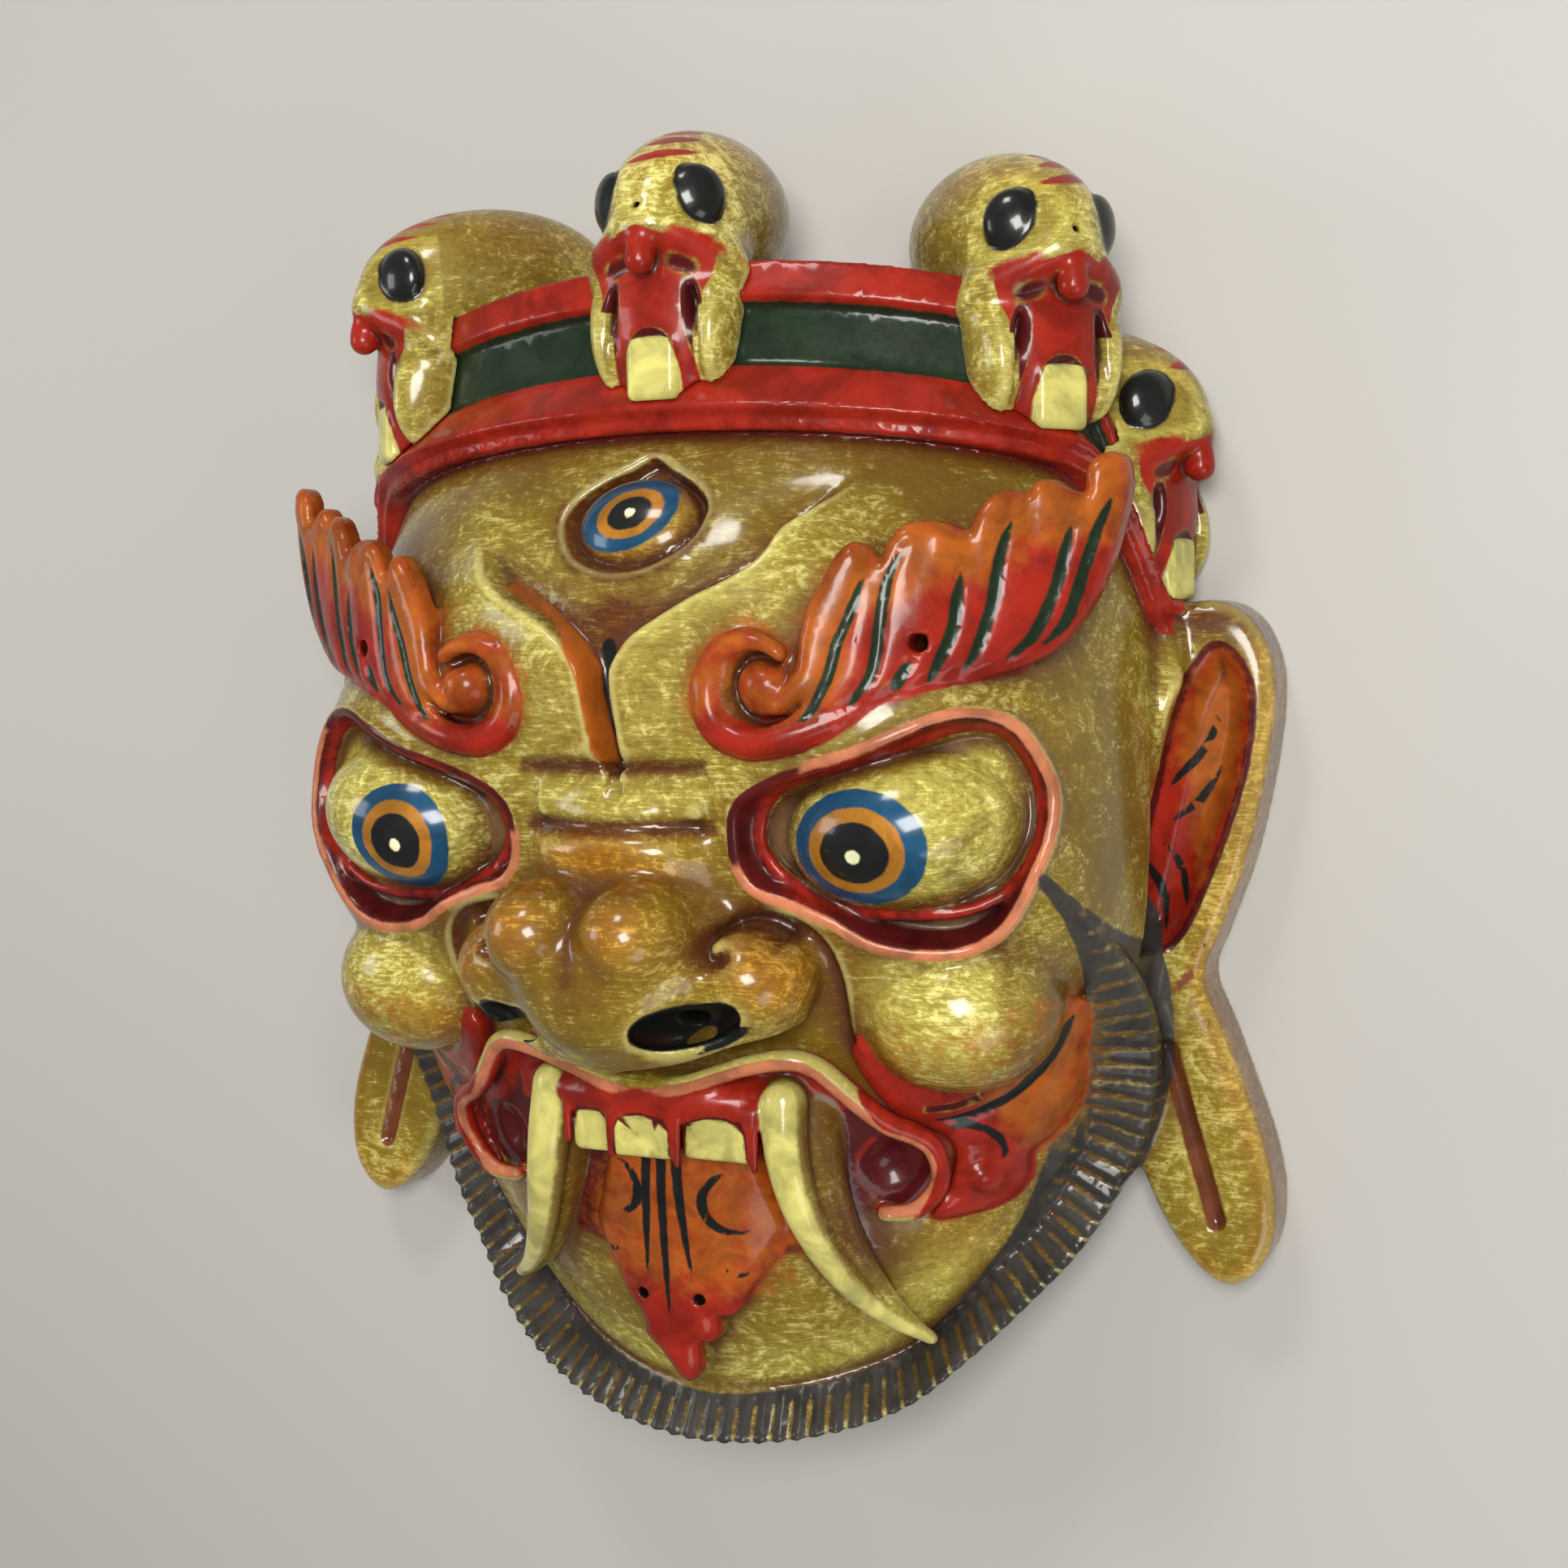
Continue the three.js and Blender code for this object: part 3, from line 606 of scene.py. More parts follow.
# Painted crescents: centre, radius, middle and spread of the arc in degrees, and width
TONGUE_ARCS = (
    ((-17.5, -120.8), 9, -5, 95, 1.7), ((23.6, -124), 9.8, 195, 110, 1.7),
    ((-21.6, -139.5), 4.2, -90, 60, 1.0), ((23, -143.6), 4.8, -90, 60, 1.0),
)
TONGUE_HOLES = ((-10.8, -157.5), (9.6, -157.5))
LEAF_OUTLINE = smooth_line([
    (66, -70), (80, -66), (104, -64), (122, -58), (128.5, -58), (127.5, -66), (124.5, -76),
    (122.6, -88), (118.6, -98), (113, -106), (107.6, -110), (106, -119), (99, -127), (88, -130),
    (80, -130), (85, -120), (88.6, -110), (87, -102), (81, -97.6), (73, -92),
], 3, True)
LEAF_BALL = (95, -115.4)
LEAF_MARK = np.array([(84, -91.5), (91, -91), (98, -88.5)], float)
LEAF_STROKE = smooth_line([(126, -62), (119, -75), (111, -84.5), (103.5, -90.5), (94, -94.4), (85, -95.6)], 4)


def fold(x, y, line, side_raised, rise, fade, dip=0.6):
    """A fold of skin along a line: raised on one side, dipping on the other, dying out at the first end"""
    gap, side, share = plan_line(x, y, line)
    gap = gap * side * side_raised
    ends = smooth_step(0, 0.22, share)
    raised = rise * np.exp(-np.maximum(gap, 0) / fade) * smooth_step(-1.4, 3.2, gap)
    dipping = -dip * rise * np.exp(-np.maximum(-gap, 0) / 12) * smooth_step(-2.2, 0.5, -gap)
    return ends * (raised + dipping)


def incise(block, line, width, depth, floor):
    """Cuts a soft groove along a line of the plan and its mirror image, above a floor"""
    reach = (8, 8)
    form = Form(None, (*(line.min(axis=0)[:2] - reach), floor), (*(line.max(axis=0)[:2] + reach), 175))
    for side in (form, form.mirrored()):
        window = block.window(side, 0)
        x, y, z = block.places(window)
        gap, _, share = plan_line(np.abs(x), y, line)
        ends = smooth_step(0, 0.12, np.minimum(share, 1 - share) + 0.06)
        groove = depth * ends * np.exp(-((gap / width) ** 2)) * smooth_step(floor, floor + 8, z)
        block.field[window] += groove.astype(np.float32)


def sunk(outline, depth, slope, rounding=1.0):
    """Wood taken out inside a plan outline, down to a floor below the head's front"""
    def distance(x, y, z):
        side = plan_outline(x, y, outline)
        floor = head_front(x, y) - depth * smooth_step(0, slope, -side)
        return smooth_meet(side, (floor - z) * 0.8, rounding)

    low, high = outline.min(axis=0), outline.max(axis=0)
    return Form(distance, (*low, 60), (*high, 175))


def fang(line):
    """A tusk with a rounded front edge and flat sides that run back to the jaw"""
    lean = 1 if line[0][0] > 0 else -1
    depth = np.interp(np.arange(len(line)), (0, 4, 6), (17, 10, 2))
    backs = [(x + 3 * lean * back / 17, y - 1, z - back) for (x, y, z), back in zip(line, depth)]
    return [rod(line, FANG_SIZES, 4), rod(backs, FANG_BACK_SIZES, 4)]


def tongue_front(x, y):
    return np.interp(y, TONGUE_FRONT[:, 0], TONGUE_FRONT[:, 1]) - 0.010 * x * x


def tongue_surface(x, y, side):
    carved = np.zeros(np.broadcast(x, y).shape)
    for line in TONGUE_LINES:
        gap, _, _ = plan_line(x, y, line)
        carved = carved + 0.9 * np.exp(-((gap / 1.3) ** 2))
    return tongue_front(x, y) - 2 * (1 - smooth_step(0, 4, -side)) - carved


def leaf_surface(x, y, side):
    wide = np.abs(x)
    stroke, _, _ = plan_line(wide, y, LEAF_STROKE)
    ball = np.hypot(wide - LEAF_BALL[0], y - LEAF_BALL[1])
    carved = 1.2 * np.exp(-((stroke / 2) ** 2)) + 1.4 * np.exp(-(((ball - 10.5) / 2) ** 2))
    return head_front(np.minimum(wide, 136), y) + 6.5 - 2.2 * (1 - smooth_step(0, 5, -side)) - carved


def add_nose(block):
    for centre, radii, blend in NOSE_FORMS:
        block.add(egg(centre, radii), blend)
    block.add([egg((across, -32.5, 147.5), (16.8, 16.2, 20.5)) for across in NOSE_BULBS], 4.5)
    for centre, radii, blend in NOSE_WINGS:
        block.add(egg(centre, radii), blend)
    block.add(both_sides([rod(NOSE_RIM, NOSE_RIM_SIZES, 4)]), 4)
    block.add(both_sides([egg(*CHEEK)]), 4)


def cut_face(block):
    block.cut(both_sides([sunk(LID_LINE, 10.5, 8, 1.5)]), 1.2)
    block.cut(egg(*MOUTH), 4)
    block.cut(both_sides([egg(*MOUTH_CORNER)]), 2)
    block.cut(sunk(THIRD_EYE_LINE, 8, 5, 1), 1.2)
    block.cut(both_sides([Form(concha_distance, (126, -50, 12), (175, 56, 40))]), 1.5)
    block.cut(both_sides([rod(LOBE_SLOT, 3.0, 2)]), 1.5)
    block.cut(rod(on_head(SLIT, 0.5), (1, 1.8, 2, 1.6), 1), 1.2)
    incise(block, WING_CURL, 2.2, 3.4, 112)
    for height in SADDLE_HEIGHTS:
        incise(block, np.array([(-26, height), (30, height)], float), 2.8, 1.2, 112)


def add_features(block):
    third_eye = (-1, 91.5, float(head_front(-1.0, 92.0)) - 6.6)
    block.add(egg(third_eye, (20.5, 16, 9), (-30, 0, 0)), 1)
    block.add(both_sides([egg(*EYEBALL)]), 1)
    block.add(both_sides([rod(on_head(LID_RIDGE, -7.5), 1.9, 1, True)]), 2.5)
    block.add(both_sides([rod(on_head(LID_LINE, -0.4), 2.0, 1, True)]), 3)
    block.add(egg(*GUM), 4)
    for left, right in TOOTH_EDGES:
        middle, half = (left + right) / 2, (right - left) / 2
        block.add(rounded_block((middle, -98, 110 - abs(middle) / 6), (half, 9.2, 12.5), 2.6), 0.6)
    for across, end in DRIPS:
        out = 122.8 - abs(across) / 6
        drip = [(across, -90, out - 1), (across, -96, out), (across, end, out - 0.6)]
        block.add(rod(drip, (1.8, 1.6, 1.3), 2), 0.8)
    block.add(rod(LIP_WHOLE, LIP_WHOLE_SIZES, 4), 2.5)
    for line in (FANG_RIGHT, FANG_LEFT):
        block.add(fang(line), 2)
    block.add(leaf(TONGUE_OUTLINE, tongue_surface, 16, 1.5), 0.8)
    block.add(both_sides([leaf(LEAF_OUTLINE, leaf_surface, 16, 2)]), 1.2)
    block.add(both_sides([egg((*LEAF_BALL, 64), (7.6, 7.6, 12))]), 1)
    block.add(both_sides([leaf(BROW_OUTLINE, brow_front, BROW_THICK, 2)]), 1.5)
    block.add(both_sides(brow_scroll()), 1.2)
    incise(block, SCROLL_GROOVE, 1.7, 4.5, 128)


def bore_holes(block):
    block.cut([egg(*nostril) for nostril in NOSTRILS], 1.5)
    block.cut(both_sides([rod(NOSE_TUNNEL, 4.4)]), 1)
    block.cut([rod([(*hole, 90), (*hole, 115)], 1.9, 1) for hole in TONGUE_HOLES], 0.8)
    block.cut(both_sides([rod([(*BROW_HOLE, 110), (*BROW_HOLE, 150)], 2.7, 1)]), 0.8)


def carve_mask():
    block = Block((-182, -218, -4), (182, 179, 172), FACE_STEP)
    x, y, z = block.places()
    block.field = head_distance(x, y, z).astype(np.float32)
    steep = np.gradient(block.field, block.step, axis=1)
    block.field /= np.sqrt(1 + steep * steep)
    plain_head = block.field.copy()
    furrows = fold(x, y, FURROW_RIGHT, 1, 8.6, 24, 0.7) + fold(x, y, FURROW_LEFT, -1, 7.2, 20, 0.65)
    block.field -= (furrows * smooth_step(0, 22, y) * smooth_step(60, 105, z)).astype(np.float32)
    block.field = np.maximum(block.field, np.maximum(HEAD_BOTTOM - y, y - HEAD_TOP + 3)).astype(np.float32)

    block.add(Form(crown_distance, (-160, 50, -4), (160, 176, 120)), 0.8)
    block.add(Form(beard_distance, (-150, -217, -4), (150, 0, 122)), 1.2)
    block.add(both_sides([Form(ear_distance, (122, -162, -4), (182, 70, 40))]), 6)
    add_nose(block)
    block.add(rounded_block((1.5, 8.5, 127.6), (28.5, 7.8, 10), 3), 1.6)
    block.add(both_sides([rod([(143, 54, 26), (147, 30, 33), (143, 8, 26)], 5.5)]), 4)
    creases = fold(np.abs(x), y, CHEEK_CREASE, 1, 2.4, 9, 0.9)
    block.field -= (creases * smooth_step(60, 85, z)).astype(np.float32)
    cut_face(block)
    add_features(block)
    bore_holes(block)

    hollow = np.maximum(plain_head + WALL, np.maximum(HOLLOW_BOTTOM - y, y - HOLLOW_TOP))
    block.field = smooth_cut(block.field, hollow, 3)
    block.field = np.maximum(block.field, -z).astype(np.float32)
    return block


# Skulls
SKULL_FOOT = 10.0
SKULLS = (
    ("skull_middle", 0, 0), ("skull_front_right", 56, 46), ("skull_front_left", -56, -46),
    ("skull_side_right", 93, 76), ("skull_side_left", -93, -76),
)
SKULL_GAP = 0.35
# Plain jaw by height: half width and front
JAW_STATIONS = np.array([
    (10, 14, 3), (24, 19, 4), (38, 24, 5), (50, 25.5, 4), (62, 24, 3), (74, 22, -4),
], float)
RIDGE_LINE = [
    (0, 62.6, 6.6), (5, 62, 6), (12, 58.4, 2.6), (19.2, 55.4, -3.6), (23.6, 51.5, -9.6), (24.6, 47.5, -13),
]
RIDGE_SIZES = (3.6, 3.6, 3.4, 3.2, 2.8, 1.8)
SKULL_NOSE = [(0, 61, 8), (0, 56, 9.6), (0, 52, 9.4)]
SKULL_NOSE_SIZES = (2, 4, 4.8)
SKULL_DOME = ((0, 72, -35), (25, 27.5, 46), (6, 0, 0))
SKULL_TOOTH = ((0, 19.4, -2.4), (9, 10.2, 6.5), 3)
SKULL_NAIL_HEIGHT = 68.4
SKULL_STROKES = [np.array(stroke, float) for stroke in (
    [(-8, 83), (3, 85.2), (14, 86.4)], [(-5, 89.6), (3, 91), (12, 91.6)], [(-3, 94.6), (9, 95.6)],
)]
SIDE_GAP = ((15.0, 33, 3), (2.4, 12.5, 8), (0, 0, 8))
JAW_BALL = ((19.0, 30.5, -8.5), (5.6, 17, 11.5), (0, 0, -5))
VALLEY = ((11.6, 50.6, 6.6), (7, 2.4, 4.4), (0, 25, -16))
SKULL_ARCH = ((0, 25, 7), (8.8, 7, 6.4))


def jaw_distance(x, y, z):
    half = np.interp(y, JAW_STATIONS[:, 0], JAW_STATIONS[:, 1])
    front = np.interp(y, JAW_STATIONS[:, 0], JAW_STATIONS[:, 2])
    back = z - front + 16
    depth = np.where(back > 0, 16, 24)
    level = np.sqrt((x / half) ** 2 + (back / depth) ** 2) + 1e-4
    slope = np.sqrt((x / half**2) ** 2 + (back / depth**2) ** 2) / level + 1e-6
    return smooth_meet((level - 1) / slope, np.maximum(SKULL_FOOT - y, y - 74), 3)


def skull_eye(side):
    return egg((side * 14.4, 72, -1.5), (9.4, 10, 5), (0, side * 35, 0))


def skull_room(x, y, z, place):
    """Distance of the crown and head from a point of a skull, by the skull's own axes"""
    spots = [place[row, 0] * x + place[row, 1] * y + place[row, 2] * z + place[row, 3] for row in range(3)]
    crown = crown_distance(*spots)
    head = np.maximum(head_distance(*spots), spots[1] - HEAD_TOP + 3)
    return np.minimum(np.minimum(crown, head), spots[2])


def carve_skull(place):
    block = Block((-32, 6, -84), (32, 103, 20), SKULL_STEP)
    block.field = jaw_distance(*block.places()).astype(np.float32)
    block.add(egg(*SKULL_DOME), 4)
    block.cut(both_sides([egg(*SIDE_GAP)]), 1.5)
    block.cut(egg(*SKULL_ARCH), 1.5)
    block.cut(both_sides([egg(*VALLEY)]), 2)
    block.add(both_sides([egg(*JAW_BALL)]), 5)
    block.add(both_sides([rod(RIDGE_LINE, RIDGE_SIZES, 4)]), 8)
    block.add(rod(SKULL_NOSE, SKULL_NOSE_SIZES, 4), 2.5)
    block.add(rounded_block(*SKULL_TOOTH), 0.8)
    block.add([skull_eye(side) for side in (-1, 1)], 0.6)
    block.cut(rod([(0, SKULL_NAIL_HEIGHT, 4), (0, SKULL_NAIL_HEIGHT, 16)], 1.2, 1), 0.6)
    x, y, z = block.places()
    block.field = np.maximum(block.field, SKULL_GAP - skull_room(x, y, z, place)).astype(np.float32)
    return block


def skull_place(degrees, facing):
    foot = Vector((
        CROWN_RADIUS_X * math.sin(math.radians(degrees)),
        float(crown_foot(degrees)),
        CROWN_CENTRE_Z + CROWN_RADIUS_Z * math.cos(math.radians(degrees)),
    ))
    return np.array(Matrix.Translation(foot) @ Matrix.Rotation(math.radians(facing), 4, "Y"))


# Meshes
def skin_piece(name, block, triangles, back):
    """A piece whose mesh is the block's surface, thinned out most where `back` is near 1"""
    points, faces = block.skin()
    mesh = bpy.data.meshes.new(name)
    mesh.from_pydata(points.tolist(), [], faces[:, ::-1].tolist())
    piece = bpy.data.objects.new(name, mesh)
    bpy.context.scene.collection.objects.link(piece)
    if 2 * len(faces) > triangles:
        hidden = piece.vertex_groups.new(name="hidden")
        shares = back(points)
        for level in (1, 2, 3, 4, 5):
            chosen = np.flatnonzero(np.round(shares * 4) + 1 == level)
            hidden.add(chosen.tolist(), level / 5, "REPLACE")
        thinner = piece.modifiers.new("thinner", "DECIMATE")
        thinner.ratio = triangles / (2 * len(faces))
        thinner.vertex_group = hidden.name
        thinner.vertex_group_factor = 0.15
        depsgraph = bpy.context.evaluated_depsgraph_get()
        thinned = bpy.data.meshes.new_from_object(piece.evaluated_get(depsgraph))
        piece.modifiers.clear()
        piece.vertex_groups.clear()
        piece.data = thinned
        bpy.data.meshes.remove(mesh)
    piece.data.shade_smooth()
    return piece


def mesh_points(piece):
    flat = np.empty(len(piece.data.vertices) * 3, np.float32)
    piece.data.vertices.foreach_get("co", flat)
    return flat.reshape(-1, 3).astype(float)


def place_points(piece, points):
    piece.data.vertices.foreach_set("co", (points * MM).astype(np.float32).ravel())
    piece.data.update()


# Paint: each colour is a layer, held as the depth in millimetres inside its painted edge.
LAYERS = (
    "bare", "brown", "maroon", "red", "orange", "pink", "slate",
    "green", "blue", "amber", "cream", "black", "dot",
)
FAR_OUTSIDE = -50.0


class Paint:
    def __init__(self, count):
        self.depth = {name: np.full(count, FAR_OUTSIDE) for name in LAYERS}

    def put(self, colour, depth, soft=1.0):
        """Paints a colour over what is there; later layers are taken off under it"""
        depth = depth / soft
        for name in LAYERS[LAYERS.index(colour) + 1:]:
            self.depth[name] = np.minimum(self.depth[name], -depth)
        self.depth[colour] = np.maximum(self.depth[colour], depth)

    def bare_gold(self, depth):
        for name in LAYERS:
            self.depth[name] = np.minimum(self.depth[name], -depth)

    def store(self, piece, **others):
        for name, values in {**self.depth, **others}.items():
            attribute = piece.data.attributes.new(name, "FLOAT", "POINT")
            attribute.data.foreach_set("value", np.clip(values, FAR_OUTSIDE, -FAR_OUTSIDE).astype(np.float32))


def ring(x, y, centre, radii, tilt=0.0):
    """Depth inside an upright oval of the plan"""
    turned = math.radians(tilt)
    right = (x - centre[0]) * math.cos(turned) + (y - centre[1]) * math.sin(turned)
    up = (y - centre[1]) * math.cos(turned) - (x - centre[0]) * math.sin(turned)
    level = np.sqrt((right / radii[0]) ** 2 + (up / radii[1]) ** 2)
    return (1 - level) * min(radii)


def arc(x, y, centre, radius, middle, spread, width):
    """Depth inside a crescent stroke that thins out to both ends"""
    angle = np.degrees(np.arctan2(y - centre[1], x - centre[0]))
    turned = np.abs((angle - middle + 180) % 360 - 180) / spread
    return width * (1 - turned**2) - np.abs(np.hypot(x - centre[0], y - centre[1]) - radius)


def least(*depths):
    return np.minimum.reduce(np.broadcast_arrays(*depths))


def near(gap, reach):
    return np.exp(-((gap / reach) ** 2))


def fading(gap, reach):
    return np.exp(-np.maximum(gap, 0) / reach)


def spot(across, up, reach):
    return near(np.hypot(across, up), reach)


def paint_ears(paint, wide, y, z):
    ear = least(z - 10, 32 - z, wide - 126)
    concha = -plan_outline(wide, y, CONCHA_OUTLINE)
    paint.put("maroon", least(concha + 1.6, ear))
    paint.put("red", least(concha - 1.0, ear))
    paint.put("orange", least(concha - 2.5, ear, (wide - 149) + (y - 10) * 0.18), 12)
    for stroke in CONCHA_STROKES:
        gap, _, share = plan_line(wide, y, stroke)
        paint.put("black", least(1.2 * (1 - (2 * share - 1) ** 2) + 0.25 - gap, concha, ear))
    slot, _, _ = plan_line(wide, y, np.array(LOBE_SLOT, float)[:, :2])
    paint.put("brown", least(3.3 - slot, ear))
    neck, _, _ = plan_line(wide, y, NECK_STROKE)
    paint.put("brown", least(1.6 - neck, ear), 1.5)


def paint_crown(paint, x, y, z):
    height, _, _ = crown_place(x, y, z)
    crown = 1.6 - crown_distance(x, y, z)
    paint.put("red", crown)
    paint.put("green", least(crown, height - CROWN_STRIPE[0], CROWN_STRIPE[1] - height))


def paint_beard(paint, x, y, z):
    low = y < BEARD_TOP
    beard = np.full(len(x), FAR_OUTSIDE)
    groove = np.full(len(x), FAR_OUTSIDE)
    width, front, share = beard_place(x[low], y[low])
    whole = beard_width(x[low], y[low]) * beard_taper(share)
    beard[low] = least(width + 2, whole + 0.5 - width, z[low] - 1)
    across = np.clip(2 * (width + front - z[low] + 2) / np.maximum(whole + 14, 1) - 1, -1, 1)
    stroke = -beard_groove(share) - 0.66 - 0.34 * np.abs(across) ** 2
    groove[low] = least(stroke, width + 1, whole - 3.5 - width, z[low] - front + 9)
    paint.put("slate", beard)
    paint.bare_gold(least(beard, groove) * 1.2)
    return np.clip(least(beard, groove) + 0.6, 0, 1)


def paint_brows(paint, wide, y, z):
    side = plan_outline(wide, y, BROW_OUTLINE)
    front = np.interp(wide, BROW_FRONT[:, 0], BROW_FRONT[:, 1])
    brow = least(1.2 - side, z - front + BROW_THICK + 1)
    scroll_gap = np.minimum.reduce([form.distance(wide, y, z) for form in brow_scroll()])
    scroll = 1.0 - scroll_gap
    paint.put("red", np.maximum(brow, scroll))
    top_edge, _, _ = plan_line(wide, y, smooth_line(BROW_UPPER))
    paint.put("orange", least(brow, 15 - top_edge), 16)
    paint.put("orange", least(scroll, y - 36 - (wide - 47) * 0.2), 14)
    spiral, _, share = plan_line(wide, y, SCROLL_GROOVE)
    paint.put("maroon", least(scroll, 1.5 * (1 - (2 * share - 1) ** 6) + 0.1 - spiral), 1.4)
    for stripe in BROW_STRIPES:
        gap, _, share = plan_line(wide, y, stripe)
        paint.put("green", least(brow - 1, 1.45 * (1 - (2 * share - 1) ** 4) + 0.2 - gap))
    hole = np.hypot(wide - BROW_HOLE[0], y - BROW_HOLE[1])
    paint.put("black", least(2.6 - hole, brow))


def paint_eyes(paint, x, y, z):
    wide = np.abs(x)
    lid_side = plan_outline(wide, y, LID_LINE)
    ridge_side = plan_outline(wide, y, LID_RIDGE)
    front = z - 84
    paint.put("maroon", least(1 - lid_side, front))
    paint.put("red", least(1.3 - np.abs(ridge_side + 0.4), front), 4)
    shown = np.where(x > 0, np.maximum(wide - 62, -12 - y), np.maximum(-4 - y, wide - 122))
    paint.put("pink", least(1.6 - np.abs(lid_side - 0.3), front, 0.25 * shown), 1.2)
    paint.bare_gold(least(-ridge_side - 2.0, front))
    for side, (across, up, narrow) in IRISES.items():
        for colour, radii, down in IRIS_RINGS:
            oval = ring(x, y, (across, up - down), (radii[0] * narrow, radii[1]), 4 * side)
            paint.put(colour, least(oval, front, x * side))
    for colour, centre, radii in THIRD_EYE_RINGS:
        paint.put(colour, least(ring(x, y, centre, radii, 14), z - 90))


def paint_forehead(paint, x, y, z):
    strip = np.vstack([ORANGE_STRIP, FURROW_LEFT[::-1]])
    paint.put("orange", least(0.6 - plan_outline(x, y, strip), x + 41, z - 100), 1.5)
    slit, _, _ = plan_line(x, y, SLIT)
    paint.put("black", least(2.5 - slit, z - 100), 1.3)


def tooth_depth(x, y, z, middle, half):
    arch = -93.4 - y - 0.03 * (x - middle) ** 2
    return least(half - np.abs(x - middle) - 0.4, arch, z - 107 + np.abs(x) / 5)


def paint_mouth(paint, x, y, z):
    wide = np.abs(x)
    lip_plan, lip_side, _ = plan_line(x, y, smooth_line(LIP_WHOLE, 5)[:, :2])
    below_lip = -lip_plan * lip_side
    mouth = ring(x, y, (0, -119), (64, 29))
    paint.put("maroon", least(mouth, -85 - y, 66 - wide, z - 60), 3)
    corner = least(below_lip, y + 122, wide - 28, 86 - wide, z - 60)
    paint.put("maroon", corner)
    paint.put("red", least(corner, 7 - below_lip), 6)
    curl = least(12.5 - np.hypot(wide - 72, y + 113), z - 60)
    paint.put("red", curl, 3)
    paint.put("maroon", least(curl, 89 - z), 3)
    gum = least(y + 97.5, below_lip + 1, 58 - wide, z - 92)
    paint.put("red", gum)
    for left_edge, right_edge in TOOTH_EDGES:
        middle, half = (left_edge + right_edge) / 2, (right_edge - left_edge) / 2
        tooth = tooth_depth(x, y, z, middle, half)
        paint.put("maroon", least(tooth + 0.9, -91 - y, z - 104))
        paint.put("cream", tooth)
    for drip, end in DRIPS:
        width = 1.9 - 0.05 * np.maximum(-96 - y, 0) + 0.45 * np.maximum(y + 97, 0)
        gap = width - np.abs(x - drip)
        paint.put("maroon", least(gap + 0.6, y - end + 2.2, -91 - y, z - 108))
        paint.put("red", least(gap, y - end + 1.4, -90 - y, z - 108))
    for line in (FANG_RIGHT, FANG_LEFT):
        tusk = 1.2 - np.minimum.reduce([form.distance(x, y, z) for form in fang(line)])
        gap, _, share = plan_line(x, y, smooth_line(line, 4)[:, :2])
        across, up, out = np.array(line[::-1], float).T
        paint.bare_gold(least(tusk, z - 60, x - np.interp(y, up, across) + 5))
        width = np.interp(share, (0, 0.3, 1), (6.2, 5.4, 2.0))
        paint.put("cream", least(tusk, width - gap, z - np.interp(y, up, out)), 1.6)
    lip = least(1.3 - rod(LIP_WHOLE, LIP_WHOLE_SIZES, 4).distance(x, y, z), z - 60)
    paint.put("red", lip, 1.5)
    paint.put("pink", least(lip, 2.6 - below_lip), 1.2)
    paint.bare_gold(least(lip + 0.4, -below_lip - 0.8, 78 - wide))


def paint_tongue(paint, x, y, z):
    side = plan_outline(x, y, TONGUE_OUTLINE)
    tongue = least(1.2 - side, z - tongue_front(x, y) + 8, tongue_front(x, y) + 4 - z, -103 - y)
    paint.put("red", tongue)
    paint.put("orange", least(tongue, y + 152), 26)
    for line in TONGUE_LINES:
        gap, _, share = plan_line(x, y, line)
        paint.put("black", least(1.5 * (1 - share**2) + 0.3 - gap, tongue))
    for crescent in TONGUE_ARCS:
        paint.put("black", least(arc(x, y, *crescent), tongue))
    for across, up in TONGUE_HOLES:
        paint.put("black", least(2.2 - np.hypot(x - across, y - up), tongue))


def paint_leaves(paint, wide, y, z):
    side = plan_outline(wide, y, LEAF_OUTLINE)
    face = head_front(np.minimum(wide, 136), y)
    leaf_zone = least(1.5 - side, z - face + 3)
    leaf_zone = least(leaf_zone, egg(*CHEEK).distance(wide, y, z) - 1.8)
    paint.put("red", leaf_zone)
    paint.put("orange", least(leaf_zone, wide - 101 + (y + 92) * 0.5), 14)
    stroke, _, share = plan_line(wide, y, LEAF_STROKE)
    paint.put("black", least(1.2 * (1 - (2 * share - 1) ** 4) + 0.2 - stroke, leaf_zone))
    paint.put("black", least(arc(wide, y, (93, -107), 9.3, 48, 82, 1.5), leaf_zone))
    mark, _, _ = plan_line(wide, y, LEAF_MARK)
    paint.put("maroon", least(1.3 - mark, leaf_zone), 1.5)


